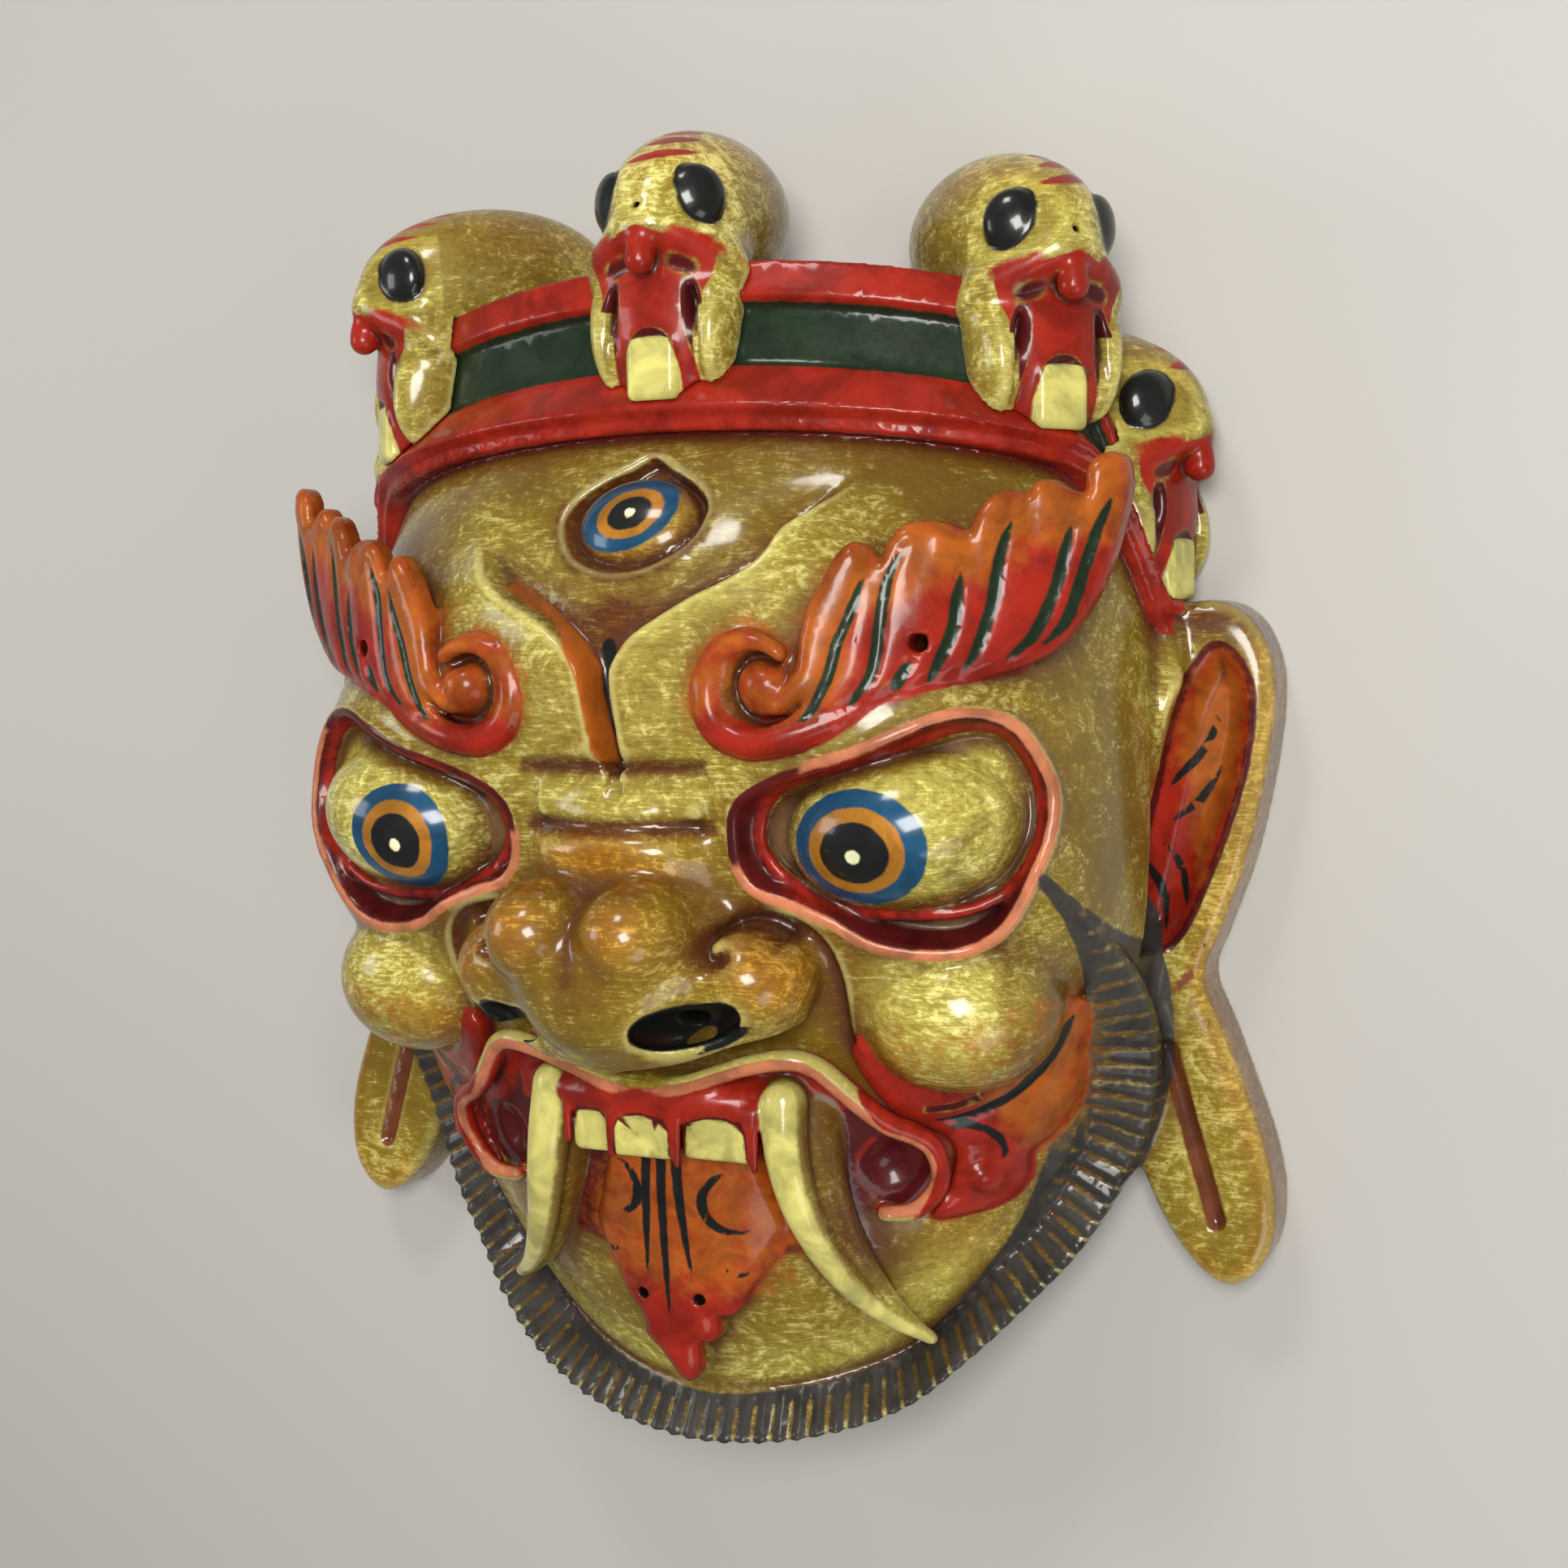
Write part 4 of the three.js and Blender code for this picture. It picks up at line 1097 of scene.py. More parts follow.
class WashesAndPaintedLight:
    """Brown glazing, amber tint and pale rubbing laid by hand over the gold, each from 0 to 1; painted shade
    is held with the glazing and painted highlights with the pale rubbing
    """

    def __init__(self, points):
        self.x, self.y, self.z = points.T
        self.wide = np.abs(self.x)
        self.front = smooth_step(60, 90, self.z)
        self.upper = self.front * smooth_step(10, 20, self.y)
        self.glaze_and_shade = np.zeros(len(points))
        self.warm = np.zeros(len(points))
        self.rub_and_highlight = np.zeros(len(points))

    # Painted shade below each forehead fold and in the central dip, with brown glazing; painted highlight on
    # the raised pillows; amber tint in the valleys
    def wash_and_shade_furrows(self):
        for line, raised in ((FURROW_RIGHT, 1), (FURROW_LEFT, -1)):
            gap, side, share = plan_line(self.x, self.y, line)
            gap = gap * side * raised
            strength = smooth_step(0.02, 0.4, share) * self.upper
            below = gap < 0
            self.glaze_and_shade += strength * np.where(below, np.exp(gap / 11), 0.95 * near(gap, 2))
            self.rub_and_highlight += 0.7 * strength * near(gap - 5, 4)
            self.warm += 0.5 * strength * smooth_step(0.35, 0.8, share) * np.where(below, np.exp(gap / 9), 0)
        dip = spot(self.x + 1, (self.y - 59) * 0.9, 8) * self.upper
        self.glaze_and_shade += dip * 0.9
        self.warm += dip
        self.rub_and_highlight += self.upper * 0.7 * spot((self.wide - 20) / 1.1, (self.y - 38) / 1.5, 14)

    # Painted shade inside the third eye's recess near its edge, and darker up the forehead; paler on the ball
    # and round the recess
    def wash_and_shade_third_eye(self):
        side = plan_outline(self.x, self.y, THIRD_EYE_LINE)
        inside = (side < 0.8) * smooth_step(70, 80, self.y)
        self.glaze_and_shade += inside * (1 - smooth_step(3, 9, -side))
        self.glaze_and_shade += 0.22 * smooth_step(84, 104, self.y) * self.front
        self.warm += 0.6 * inside * near(-side - 7, 4)
        self.rub_and_highlight += inside * smooth_step(6, 12, -side) * 0.5
        self.rub_and_highlight += 0.4 * near(side - 6, 4) * (self.y < 84) * self.upper

    # Painted shade round the brows and the scrolls; paler above the inner brows
    def wash_and_shade_brows(self):
        side = plan_outline(self.wide, self.y, BROW_OUTLINE)
        scroll = np.hypot(self.wide - 47, self.y - 40.5) - 15.5
        self.glaze_and_shade += self.front * 0.75 * fading(side, 4.5) * (self.y > 20)
        self.glaze_and_shade += self.front * 0.8 * fading(scroll, 5) * smooth_step(18, 30, self.y)
        above = spot((self.wide - 62) / 1.8, (self.y - 66) / 1.2, 16) * (self.wide < 70)
        self.rub_and_highlight += self.upper * 0.5 * above

    # Painted shade round the eye recesses and on the eyeballs' edges and their sides towards the nose; paler
    # on the balls' middles and above the rims
    def wash_and_shade_eyes(self):
        side = plan_outline(self.wide, self.y, LID_LINE)
        ball = -plan_outline(self.wide, self.y, LID_RIDGE) - 2
        on_ball = self.front * (ball > 0)
        inner_corner = smooth_step(64, 50, self.wide)
        self.glaze_and_shade += self.front * 0.4 * np.exp(-np.abs(side - 2) / 3)
        self.glaze_and_shade += on_ball * (0.6 * (1 - smooth_step(0, 7, ball)) + 0.8 * inner_corner)
        self.rub_and_highlight += on_ball * smooth_step(2, 8, ball)
        self.rub_and_highlight += self.front * 0.6 * near(side - 6, 3.5) * (self.y > 8) * (self.wide < 110)

    # Painted shade along the grooves above and below the pad between the brows and at the top of the nose;
    # amber tint below the pad, paler on the pad
    def wash_and_shade_saddles(self):
        middle = self.front * (self.wide < 32)
        top, bottom = SADDLE_HEIGHTS
        self.glaze_and_shade += middle * (0.85 * near(self.y + 1.2, 2) + 0.3 * near(self.y - 17.5, 1.6))
        self.glaze_and_shade += middle * 0.8 * (near(self.y - top, 2.6) + near(self.y - bottom, 2.6))
        self.glaze_and_shade += middle * 0.8 * near(self.y + 18.5, 3) * near(self.x, 22)
        lower_pad = smooth_step(-20, -16, self.y) * smooth_step(1, -3, self.y)
        self.warm += middle * lower_pad * near(self.x + 2, 26)
        self.rub_and_highlight += middle * 0.55 * near(self.y - 8, 6)

    # Painted shade between the bulbs, under the nose, along the wing curls and below the tip; amber tint on
    # the bulbs and wings
    def wash_and_shade_nose(self):
        between = near(self.x + 3.3, 4) * smooth_step(-50, -44, self.y) * smooth_step(-16, -22, self.y)
        bulb = least(*(np.hypot(self.x - across, self.y + 29) for across in NOSE_BULBS)) - 6
        curl, _, _ = plan_line(self.wide, self.y, WING_CURL)
        under, _, _ = plan_line(self.wide, self.y, UNDER_NOSE)
        self.glaze_and_shade += self.front * (
            0.75 * between + 0.35 * spot(self.wide - 2, self.y + 52, 9)
            + 0.95 * near(curl, 2.6) + 0.5 * near(curl, 7) + 0.9 * near(under, 2.0)
        )
        wing = 0.9 * spot(self.wide - 58, self.y + 46, 12) + 0.7 * spot(self.wide - 44, self.y + 36, 12)
        self.warm += self.front * (fading(bulb, 8) * (self.y < -12) + wing)

    # Painted shade along the cheek creases, round the cheeks and in a shaded spot below the crease; painted
    # highlight on the cheeks, stronger on the viewer's right; amber tint low on the cheeks
    def wash_and_shade_cheeks(self):
        crease, _, _ = plan_line(self.wide, self.y, CHEEK_CREASE)
        cheek = np.hypot((self.wide - 97) / 1.15, self.y + 56)
        rim = smooth_step(19, 28, cheek) * (1 - smooth_step(28, 38, cheek))
        shaded = spot(self.wide - 68, self.y + 66, 8)
        self.glaze_and_shade += self.front * (near(crease, 2.6) + 0.35 * rim + 0.5 * shaded)
        self.warm += self.front * 0.8 * spot(self.wide - 78, self.y + 72, 10)
        self.rub_and_highlight += self.front * np.where(self.x < 0, 0.55, 0.95) * (1 - smooth_step(14, 27, cheek))

    # Amber tint at the ears' outer edges; painted shade where the ears meet the head and on their walls
    # towards the back
    def wash_and_shade_ears(self):
        side = plan_outline(self.wide, self.y, EAR_OUTLINE)
        self.warm += 0.7 * near(side + 1, 5) * smooth_step(146, 156, self.wide)
        self.glaze_and_shade += 0.4 * near(self.wide - 134, 7) * smooth_step(52, 40, self.z) * (self.y > -150)
        self.glaze_and_shade += 0.6 * smooth_step(24, 17, self.z) * (self.wide > 128)

    # Painted shade beside the fangs, round the tongue, on the jaw's sides and at the beard's edge; a pale
    # band on the chin above the beard; amber tint on the jaw's sides
    def wash_and_shade_jaw(self):
        for line in (FANG_RIGHT, FANG_LEFT):
            gap, _, _ = plan_line(self.x, self.y, smooth_line(line, 3)[:, :2])
            self.glaze_and_shade += 0.6 * self.front * near(gap - 10, 5) * smooth_step(-88, -96, self.y)
        jaw = smooth_step(-96, -112, self.y) * smooth_step(40, 60, self.z)
        tongue = plan_outline(self.x, self.y, TONGUE_OUTLINE)
        self.glaze_and_shade += jaw * (0.6 * fading(tongue, 5) + 0.4 * spot(self.wide - 60, self.y + 135, 16))
        self.warm += jaw * 0.35 * spot(self.wide - 86, self.y + 138, 16)
        low = self.y < BEARD_TOP
        x, y = self.x[low], self.y[low]
        inward = beard_place(x, y)[0] - beard_width(x, y)
        self.rub_and_highlight[low] += near(inward - 9, 8) * smooth_step(-125, -150, y)
        self.glaze_and_shade[low] += 0.4 * near(inward, 2.5)

    # Painted shade on the forehead under the crown's lower edge
    def shade_under_crown(self):
        out = (self.z - CROWN_CENTRE_Z) / CROWN_RADIUS_Z
        foot = crown_foot(np.degrees(np.arctan2(self.x / CROWN_RADIUS_X, out)))
        self.glaze_and_shade += 0.9 * fading(foot - self.y, 4.5) * (self.y > 40)

    def laid(self):
        self.wash_and_shade_furrows()
        self.wash_and_shade_third_eye()
        self.wash_and_shade_brows()
        self.wash_and_shade_eyes()
        self.wash_and_shade_saddles()
        self.wash_and_shade_nose()
        self.wash_and_shade_cheeks()
        self.wash_and_shade_ears()
        self.wash_and_shade_jaw()
        self.shade_under_crown()
        layers = {"glaze_and_shade": self.glaze_and_shade, "warm": self.warm, "rub_and_highlight": self.rub_and_highlight}
        return {name: np.clip(amount, 0, 1) for name, amount in layers.items()}


def paint_mask(points):
    x, y, z = points.T
    wide = np.abs(x)
    paint = Paint(len(points))
    depth_in_wood = head_distance(x, y, z)
    outer = np.minimum(depth_in_wood + 9, z - 1.0)
    wash_and_painted_light = WashesAndPaintedLight(points).laid()
    paint_ears(paint, wide, y, z)
    paint_crown(paint, x, y, z)
    wash_and_painted_light["glaze_and_shade"] = np.maximum(wash_and_painted_light["glaze_and_shade"], 0.8 * paint_beard(paint, x, y, z))
    paint_forehead(paint, x, y, z)
    paint_brows(paint, wide, y, z)
    paint_eyes(paint, x, y, z)
    paint_mouth(paint, x, y, z)
    paint_tongue(paint, x, y, z)
    paint_leaves(paint, wide, y, z)
    for name in LAYERS:
        paint.depth[name] = np.minimum(paint.depth[name], outer)
    paint.put("bare", -outer)
    # Black inside the nostrils and the tunnel behind them: painted shade in the holes, which are also made
    # dull
    nostril = least(*(egg(*form).distance(x, y, z) for form in NOSTRILS))
    tunnel = rod(NOSE_TUNNEL, 5).distance(wide, y, z)
    inside_nose = np.maximum.reduce([0.9 - nostril, least(3 - nostril, 142 - z), least(8 - tunnel, 138 - z)])
    paint.put("black", inside_nose)
    painted = np.maximum.reduce([paint.depth[name] for name in ("red", "orange", "maroon", "pink")])
    dull = np.maximum(smooth_step(-0.5, 0.5, inside_nose), 0.7 * smooth_step(-0.5, 0.5, paint.depth["slate"]))
    dull = np.maximum(dull, 0.5 * smooth_step(-0.5, 0.5, painted))
    wash_and_painted_light["gloss"] = 1 - np.maximum(dull, smooth_step(-0.5, 0.5, -outer))
    return paint, wash_and_painted_light


def paint_skull(points):
    x, y, z = points.T
    wide = np.abs(x)
    paint = Paint(len(points))
    ridge = rod(RIDGE_LINE, RIDGE_SIZES, 4).distance(wide, y, z)
    below = np.interp(wide, (0, 13, 21, 26, 30), (62, 58, 55, 49, 36)) - y
    gap = egg(*SIDE_GAP).distance(wide, y, z)
    jaw_ball = egg(*JAW_BALL).distance(wide, y, z)
    flesh = least(below, z + 20, 17.5 - wide + 0.4 * np.maximum(y - 42, 0), y - 9)
    paint.put("red", flesh)
    paint.put("maroon", least(1.4 - gap, z + 24, 47 - y))
    paint.bare_gold(least(1.4 - jaw_ball, 38 - y))
    paint.put("maroon", least(1.0 - egg(*VALLEY).distance(wide, y, z), 57 - y), 2)
    paint.put("red", 1.2 - ridge)
    nose = rod(SKULL_NOSE, SKULL_NOSE_SIZES, 4).distance(x, y, z)
    paint.put("maroon", least(1.6 - nose, 56 - y), 1.5)
    paint.put("red", 0.8 - nose)
    arch = egg(*SKULL_ARCH).distance(x, y, z)
    paint.put("maroon", least(0.7 - arch, y - 24))
    teeth = least(9.6 - wide - 0.014 * np.maximum(y - 14, 0) ** 2, 29.4 - y - 0.02 * x * x, z + 4)
    paint.put("cream", teeth)
    for side in (-1, 1):
        paint.put("black", 0.7 - skull_eye(side).distance(x, y, z))
    for stroke in SKULL_STROKES:
        gap, _, share = plan_line(x, y, stroke)
        paint.put("red", least(1.5 * (1 - (2 * share - 1) ** 2) + 0.1 - gap, z + 34))
    eye = np.hypot((wide - 14.4) / 9.2, (y - 72) / 9.8) * 9.5 - 9.5
    painted = np.maximum(paint.depth["red"], paint.depth["maroon"])
    # Painted shade towards the back of the skull, where it meets the crown, and along the line under the brow
    # ridge; pale rims round the eye sockets
    wash_and_painted_light = {
        "glaze_and_shade": 0.5 * near(z + 45, 26) + 0.4 * near(below, 2.2),
        "warm": 0.25 * near(y - 88, 10),
        "rub_and_highlight": np.clip(1.0 * near(eye - 2, 2.6) * (z > -14) + 0.35, 0, 1),
        "gloss": 1 - 0.5 * smooth_step(-0.5, 0.5, painted),
    }
    return paint, wash_and_painted_light


# Shading
PALETTE = {
    "bare": (0.16, 0.085, 0.035),
    "brown": (0.14, 0.038, 0.010),
    "maroon": (0.070, 0.006, 0.006),
    "red": (0.255, 0.014, 0.006),
    "orange": (0.31, 0.075, 0.008),
    "pink": (0.43, 0.145, 0.068),
    "slate": (0.040, 0.036, 0.031),
    "green": (0.010, 0.021, 0.009),
    "blue": (0.007, 0.055, 0.115),
    "amber": (0.34, 0.135, 0.012),
    "cream": (0.52, 0.47, 0.135),
    "black": (0.008, 0.009, 0.008),
    "dot": (0.80, 0.80, 0.48),
}


# Tones of the gold, from its bright pale places and painted highlights down to the brown glazing and painted
# shade in its creases and hollows
GOLD = {
    "olive": (0.150, 0.090, 0.007),
    "yellow": (0.27, 0.195, 0.018),
    "rubbed_and_lit": (0.50, 0.44, 0.090),
    "between strokes": (0.12, 0.065, 0.005),
    "pale stroke": (0.76, 0.71, 0.25),
    "plain tint": (1, 1, 1),
    "amber tint": (1.25, 0.66, 0.16),
    # Hollow, glazing and crease tones: brown glazing together with painted shade
    "hollow": (0.11, 0.048, 0.006),
    "glaze_and_shade": (0.085, 0.024, 0.006),
    "crease": (0.050, 0.015, 0.006),
    # Pale edge tone: wear together with painted highlights on proud edges
    "worn edge": (0.66, 0.60, 0.20),
}
# Near-black painted shade that the coloured paint darkens to in its deep creases
CREASE_SHADE = (0.018, 0.005, 0.004)


class Shader:
    """A material or node group under construction"""

    def __init__(self, tree):
        self.nodes = tree.nodes
        self.links = tree.links

    def make(self, kind, **settings):
        node = self.nodes.new(kind)
        for name, value in settings.items():
            setattr(node, name, value)
        return node

    def feed(self, socket, value):
        if isinstance(value, bpy.types.NodeSocket):
            self.links.new(value, socket)
        else:
            socket.default_value = value

    def math(self, operation, *values, clamp=False):
        node = self.make("ShaderNodeMath", operation=operation, use_clamp=clamp)
        for socket, value in zip(node.inputs, values):
            self.feed(socket, value)
        return node.outputs[0]

    def weighed(self, *terms):
        """The sum of two values, each times its weight"""
        parts = [value if weight == 1 else self.math("MULTIPLY", value, weight) for value, weight in terms]
        return self.math("ADD", *parts)

    def mix(self, share, first, second, blend="MIX"):
        node = self.make("ShaderNodeMix", data_type="RGBA", blend_type=blend)
        for socket, value in zip((node.inputs[0], node.inputs[6], node.inputs[7]), (share, first, second)):
            self.feed(socket, value)
        return node.outputs[2]

    def ramp(self, value, low, high, to_low=0.0, to_high=1.0):
        node = self.make("ShaderNodeMapRange", interpolation_type="SMOOTHSTEP")
        for socket, number in zip(node.inputs, (value, low, high, to_low, to_high)):
            self.feed(socket, number)
        return node.outputs[0]

    def noise(self, place, scale, detail=4.0, roughness=0.6, distortion=0.0):
        node = self.make("ShaderNodeTexNoise")
        self.feed(node.inputs["Vector"], place)
        settings = {"Scale": scale, "Detail": detail, "Roughness": roughness, "Distortion": distortion}
        for name, value in settings.items():
            self.feed(node.inputs[name], value)
        return node.outputs[0]

    def stretched(self, place, scale, turn):
        node = self.make("ShaderNodeMapping")
        self.feed(node.inputs["Vector"], place)
        node.inputs["Scale"].default_value = scale
        node.inputs["Rotation"].default_value = turn
        return node.outputs[0]

    def attribute(self, name):
        return self.make("ShaderNodeAttribute", attribute_name=name).outputs["Fac"]


def rgb(colour):
    return (*colour, 1.0)


def new_group(name, inputs, outputs):
    """A node group with named sockets, and its shader and end nodes"""
    tree = bpy.data.node_groups.new(name, "ShaderNodeTree")
    for label, kind in inputs:
        tree.interface.new_socket(label, in_out="INPUT", socket_type=kind)
    for label, kind in outputs:
        tree.interface.new_socket(label, in_out="OUTPUT", socket_type=kind)
    shader = Shader(tree)
    return tree, shader, shader.make("NodeGroupInput"), shader.make("NodeGroupOutput")


def antique_gold_group():
    """Gold dry-brushed over brown: pale streaks, brown glazing and amber tint, with painted shade in the
    olive hollows and creases and painted highlights on proud edges and pale places
    """
    tree, shader, start, end = new_group(
        "antique gold",
        [(label, "NodeSocketFloat") for label in ("Crease", "Hollow", "Glaze_and_shade", "Warm", "Rub_and_highlight")],
        [("Color", "NodeSocketColor")],
    )
    place = shader.make("ShaderNodeTexCoord").outputs["Object"]
    patches = shader.noise(place, 17.0, 3.0, 0.55, 0.4)
    mottled = shader.noise(place, 380.0, 4.0, 0.65, 0.8)
    swirled = shader.noise(place, 48.0, 7.0, 0.72, 4.0)
    brushed = shader.noise(shader.stretched(place, (55, 330, 160), (0.0, 0.0, 0.6)), 1.0, 6.0, 0.7, 3.0)
    texture = shader.weighed((mottled, 0.2), (brushed, 0.42))
    texture = shader.weighed((texture, 1.0), (swirled, 0.38))
    lifted = shader.weighed((texture, 1.0), (shader.math("SUBTRACT", patches, 0.5), 0.22))
    # Pale rubbing with painted highlights: lightens the gold where it is rubbed and where light falls
    rub_and_highlight = start.outputs["Rub_and_highlight"]
    tone = {name: rgb(colour) for name, colour in GOLD.items()}
    body = shader.mix(shader.ramp(patches, 0.30, 0.66), tone["olive"], tone["yellow"])
    body = shader.mix(shader.math("MULTIPLY", rub_and_highlight, 0.7), body, tone["rubbed_and_lit"])
    dark = shader.mix(0.5, body, tone["between strokes"])
    body = shader.mix(shader.ramp(texture, 0.42, 0.52), dark, body)
    amount = shader.math("ADD", shader.math("MULTIPLY", rub_and_highlight, 0.5), 0.42)
    pale = shader.math("MULTIPLY", shader.ramp(lifted, 0.505, 0.60), amount)
    body = shader.mix(pale, body, tone["pale stroke"])
    warm = shader.math("MULTIPLY", start.outputs["Warm"], 0.85)
    tint = shader.mix(warm, tone["plain tint"], tone["amber tint"])
    body = shader.mix(1.0, body, tint, "MULTIPLY")
    # Painted shade with brown glazing in the hollows
    hollow = shader.ramp(start.outputs["Hollow"], 0.505, 0.64)
    body = shader.mix(shader.math("MULTIPLY", hollow, 0.75), body, tone["hollow"])
    uneven = shader.ramp(texture, 0.40, 0.60, 1.15, 0.78)
    # Brown glazing with painted shade, broken up by the brushed texture
    wash_and_painted_light = shader.math("MULTIPLY", start.outputs["Glaze_and_shade"], uneven, clamp=True)
    body = shader.mix(wash_and_painted_light, body, tone["glaze_and_shade"])
    # Painted shade with glazing in the creases, then wear with painted highlight on proud edges
    body = shader.mix(shader.ramp(start.outputs["Crease"], 0.54, 0.74), body, tone["crease"])
    proud = shader.ramp(start.outputs["Crease"], 0.46, 0.36)
    body = shader.mix(shader.math("MULTIPLY", proud, 0.4), body, tone["worn edge"])
    shader.feed(end.inputs["Color"], body)
    return tree


def paint_coat_group():
    """One brushed colour laid over another, with a hand-painted edge, an uneven tone, and painted shade
    darkening its creases
    """
    tree, shader, start, end = new_group(
        "paint coat",
        [("Under", "NodeSocketColor"), ("Paint", "NodeSocketColor"), ("Depth", "NodeSocketFloat"),
         ("Crease", "NodeSocketFloat"), ("Wobble", "NodeSocketFloat"), ("Uneven", "NodeSocketFloat")],
        [("Color", "NodeSocketColor")],
    )
    # Uneven tone of the brushed paint itself
    shade = shader.ramp(start.outputs["Uneven"], 0.32, 0.68, 0.68, 1.25)
    scaled = shader.make("ShaderNodeVectorMath", operation="SCALE")
    shader.feed(scaled.inputs[0], start.outputs["Paint"])
    shader.feed(scaled.inputs["Scale"], shade)
    # Painted shade in the creases
    crease = shader.ramp(start.outputs["Crease"], 0.54, 0.74)
    colour = shader.mix(shader.math("MULTIPLY", crease, 0.8), scaled.outputs[0], rgb(CREASE_SHADE))
    edge = shader.math("ADD", start.outputs["Depth"], start.outputs["Wobble"])
    share = shader.ramp(edge, -0.35, 0.35)
    shader.feed(end.inputs["Color"], shader.mix(share, start.outputs["Under"], colour))
    return tree


GOLD_GROUP = antique_gold_group()
COAT_GROUP = paint_coat_group()


def place_group(shader, tree, **values):
    node = shader.make("ShaderNodeGroup", node_tree=tree)
    for name, value in values.items():
        shader.feed(node.inputs[name], value)
    return node.outputs[0]


def painted_wood(name, layers):
    material = bpy.data.materials.new(name)
    material.use_nodes = True
    shader = Shader(material.node_tree)
    surface = material.node_tree.nodes["Principled BSDF"]
    place = shader.make("ShaderNodeTexCoord").outputs["Object"]
    crease = shader.attribute("crease")
    # Hollow, glazing, amber tint and pale rubbing, carrying wear together with painted shade and painted
    # highlights
    wear_and_light = {label.capitalize(): shader.attribute(label) for label in ("hollow", "glaze_and_shade", "warm", "rub_and_highlight")}
    colour = place_group(shader, GOLD_GROUP, Crease=crease, **wear_and_light)
    wobble = shader.math("MULTIPLY", shader.math("SUBTRACT", shader.noise(place, 180.0, 3.0), 0.5), 1.1)
    uneven = shader.noise(place, 60.0, 4.0, 0.6, 0.8)
    for layer in layers:
        colour = place_group(
            shader, COAT_GROUP, Under=colour, Paint=rgb(PALETTE[layer]), Depth=shader.attribute(layer),
            Crease=crease, Wobble=wobble, Uneven=uneven,
        )
    shader.feed(surface.inputs["Base Color"], colour)
    brushed = shader.noise(place, 240.0, 5.0, 0.7, 0.5)
    shader.feed(surface.inputs["Roughness"], shader.ramp(brushed, 0.3, 0.7, 0.26, 0.44))
    shader.feed(surface.inputs["Coat Weight"], shader.math("MULTIPLY", shader.attribute("gloss"), 0.6))
    surface.inputs["Coat Roughness"].default_value = 0.13
    surface.inputs["Specular IOR Level"].default_value = 0.12
    bump = shader.make("ShaderNodeBump")
    bump.inputs["Strength"].default_value = 0.3
    bump.inputs["Distance"].default_value = 0.0005
    shader.feed(bump.inputs["Height"], shader.noise(place, 90.0, 5.0, 0.6, 0.4))
    shader.feed(surface.inputs["Normal"], bump.outputs[0])
    return material


def finish_piece(piece, node, material):
    piece.data.materials.append(material)
    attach(piece, "root")
    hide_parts(node)


def mask_back(points):
    """How well each point of the mask is hidden: near 1 in the hollow and on the flat back"""
    x, y, z = points.T
    return np.clip(smooth_step(-4, -10, head_distance(x, y, z)) + (z < 2), 0, 1)


def skull_back(points):
    return smooth_step(-20, -60, points[:, 2])


def make_mask():
    block = carve_mask()
    piece = skin_piece("carved_face", block, FACE_TRIANGLES, mask_back)
    points = mesh_points(piece)
    paint, wash_and_painted_light = paint_mask(points)
    # Fullness round each point, which lays painted shade with glazing in creases and hollows and painted
    # highlights on proud edges
    paint.store(piece, crease=block.fullness(points, 2.2), hollow=block.fullness(points, 9), **wash_and_painted_light)
    place_points(piece, points + (0, CENTRING, 0))
    finish_piece(piece, "mask", painted_wood("painted face", LAYERS))


def make_skulls():
    material = painted_wood("painted skull", ("maroon", "red", "cream", "black"))
    for name, degrees, facing in SKULLS:
        place = skull_place(degrees, facing)
        block = carve_skull(place)
        piece = skin_piece("carved_" + name, block, SKULL_TRIANGLES, skull_back)
        points = mesh_points(piece)
        paint, wash_and_painted_light = paint_skull(points)
        # Fullness round each point, which lays painted shade with glazing in creases and hollows and painted
        # highlights on proud edges
        paint.store(piece, crease=block.fullness(points, 1.8), hollow=block.fullness(points, 5), **wash_and_painted_light)
        placed = points @ place[:3, :3].T + place[:3, 3]
        place_points(piece, placed + (0, CENTRING, 0))
        finish_piece(piece, name, material)


make_mask()
make_skulls()


# Floor, light and camera, in metres but for the camera's place
FLOOR_HALF = 4.0
FLOOR_LEVEL = -0.0003
LIT_PLACE = (0, 0, 0.08)
# Name, place, size, power and colour
LIGHTS = (
    ("key", (0.42, 0.24, 1.25), (0.46, 0.40), 16, (1.0, 0.98, 0.94)),
    ("top", (-0.15, 1.25, 0.95), (0.3, 0.3), 7, (1.0, 0.99, 0.96)),
    ("side", (-1.0, 0.2, 0.7), (0.4, 0.4), 3, (0.93, 0.96, 1.0)),
    ("fill", (0.9, -0.7, 0.8), (0.7, 0.5), 4, (1, 1, 1)),
)
SKY_COLOUR = (0.80, 0.82, 0.85)
SKY_STRENGTH = 0.27
CAMERA_PLACE = (305.14, 57.14, 702.57)
CAMERA_RIGHT = (0.91609, -0.01161, -0.40081)
CAMERA_UP = (-0.01787, 0.99740, -0.06975)
CAMERA_AHEAD = (-0.40058, -0.07106, -0.91350)
SENSOR_WIDTH = 36.0
FOCAL_PIXELS = 2600
PHOTO_PIXELS = 1932


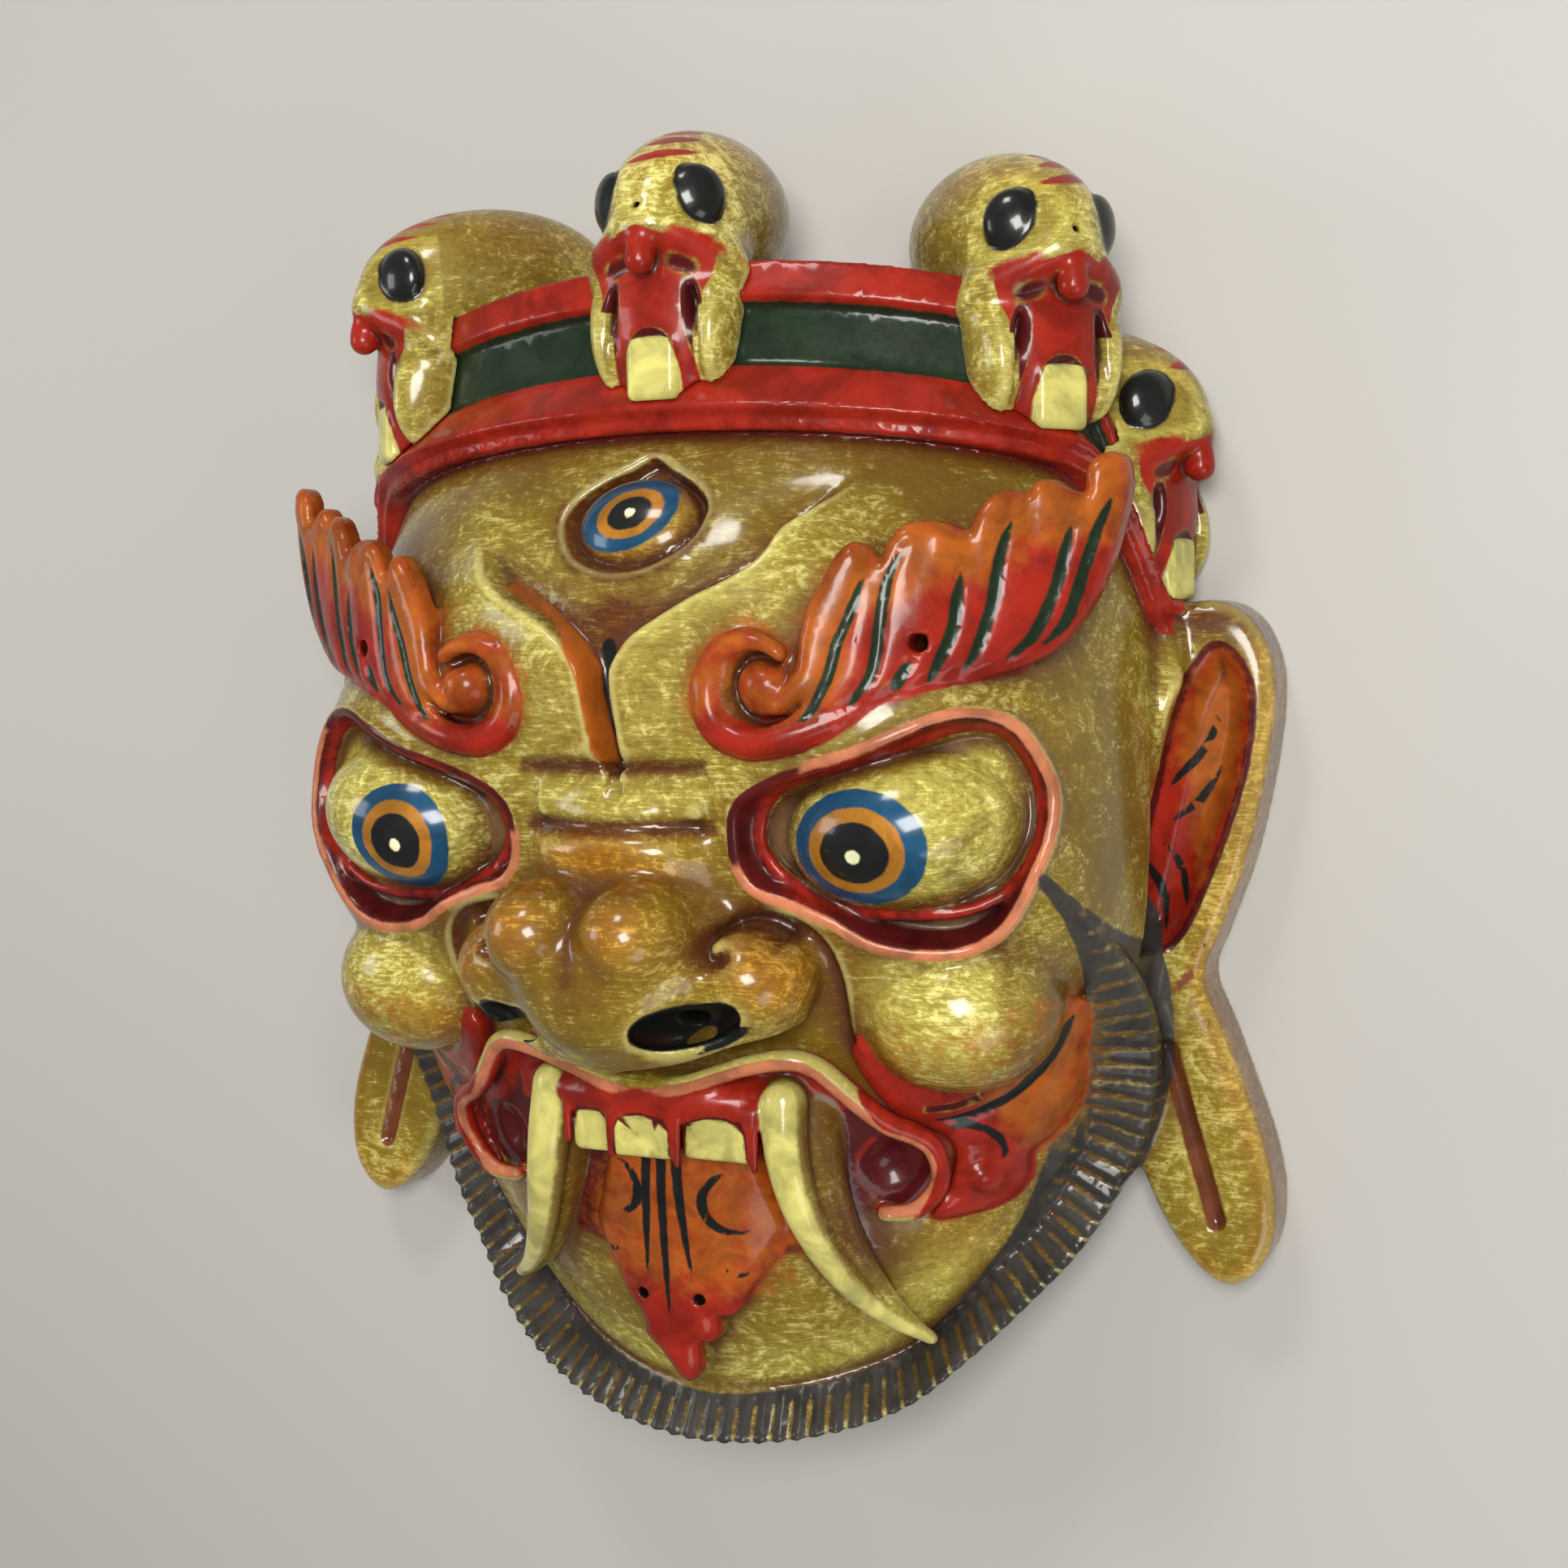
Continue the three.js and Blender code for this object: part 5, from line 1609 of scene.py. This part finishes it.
def plain_material(name, colour, roughness):
    material = bpy.data.materials.new(name)
    material.use_nodes = True
    surface = material.node_tree.nodes["Principled BSDF"]
    surface.inputs["Base Color"].default_value = rgb(colour)
    surface.inputs["Roughness"].default_value = roughness
    return material


def make_floor():
    turns = ((-1, -1), (1, -1), (1, 1), (-1, 1))
    corners = [(right * FLOOR_HALF, up * FLOOR_HALF, FLOOR_LEVEL) for right, up in turns]
    mesh = bpy.data.meshes.new("floor")
    mesh.from_pydata(corners, [], [range(len(corners))])
    floor = bpy.data.objects.new("floor", mesh)
    bpy.context.scene.collection.objects.link(floor)
    mesh.materials.append(plain_material("pale floor", (0.44, 0.42, 0.39), 0.6))


def make_lights():
    for name, place, size, power, colour in LIGHTS:
        data = bpy.data.lights.new(name, "AREA")
        data.shape = "RECTANGLE"
        data.size, data.size_y = size
        data.energy = power
        data.color = colour
        light = bpy.data.objects.new(name, data)
        light.location = place
        light.rotation_euler = (Vector(LIT_PLACE) - Vector(place)).to_track_quat("-Z", "Y").to_euler()
        bpy.context.scene.collection.objects.link(light)
    world = bpy.data.worlds.new("studio")
    world.use_nodes = True
    sky = world.node_tree.nodes["Background"].inputs
    sky["Color"].default_value = rgb(SKY_COLOUR)
    sky["Strength"].default_value = SKY_STRENGTH
    bpy.context.scene.world = world
    bpy.context.scene.view_settings.view_transform = "Standard"


def make_camera():
    """The photograph's own viewpoint, solved from matched points of the carving"""
    data = bpy.data.cameras.new("camera")
    data.sensor_fit = "HORIZONTAL"
    data.sensor_width = SENSOR_WIDTH
    data.lens = SENSOR_WIDTH * FOCAL_PIXELS / PHOTO_PIXELS
    camera = bpy.data.objects.new("camera", data)
    turned = Matrix((CAMERA_RIGHT, CAMERA_UP, [-value for value in CAMERA_AHEAD])).transposed()
    place = Vector(CAMERA_PLACE) + Vector((0, CENTRING, 0))
    camera.matrix_world = Matrix.Translation(place * MM) @ turned.to_4x4()
    bpy.context.scene.collection.objects.link(camera)
    bpy.context.scene.camera = camera


make_floor()
make_lights()
make_camera()

bpy.context.view_layer.update()
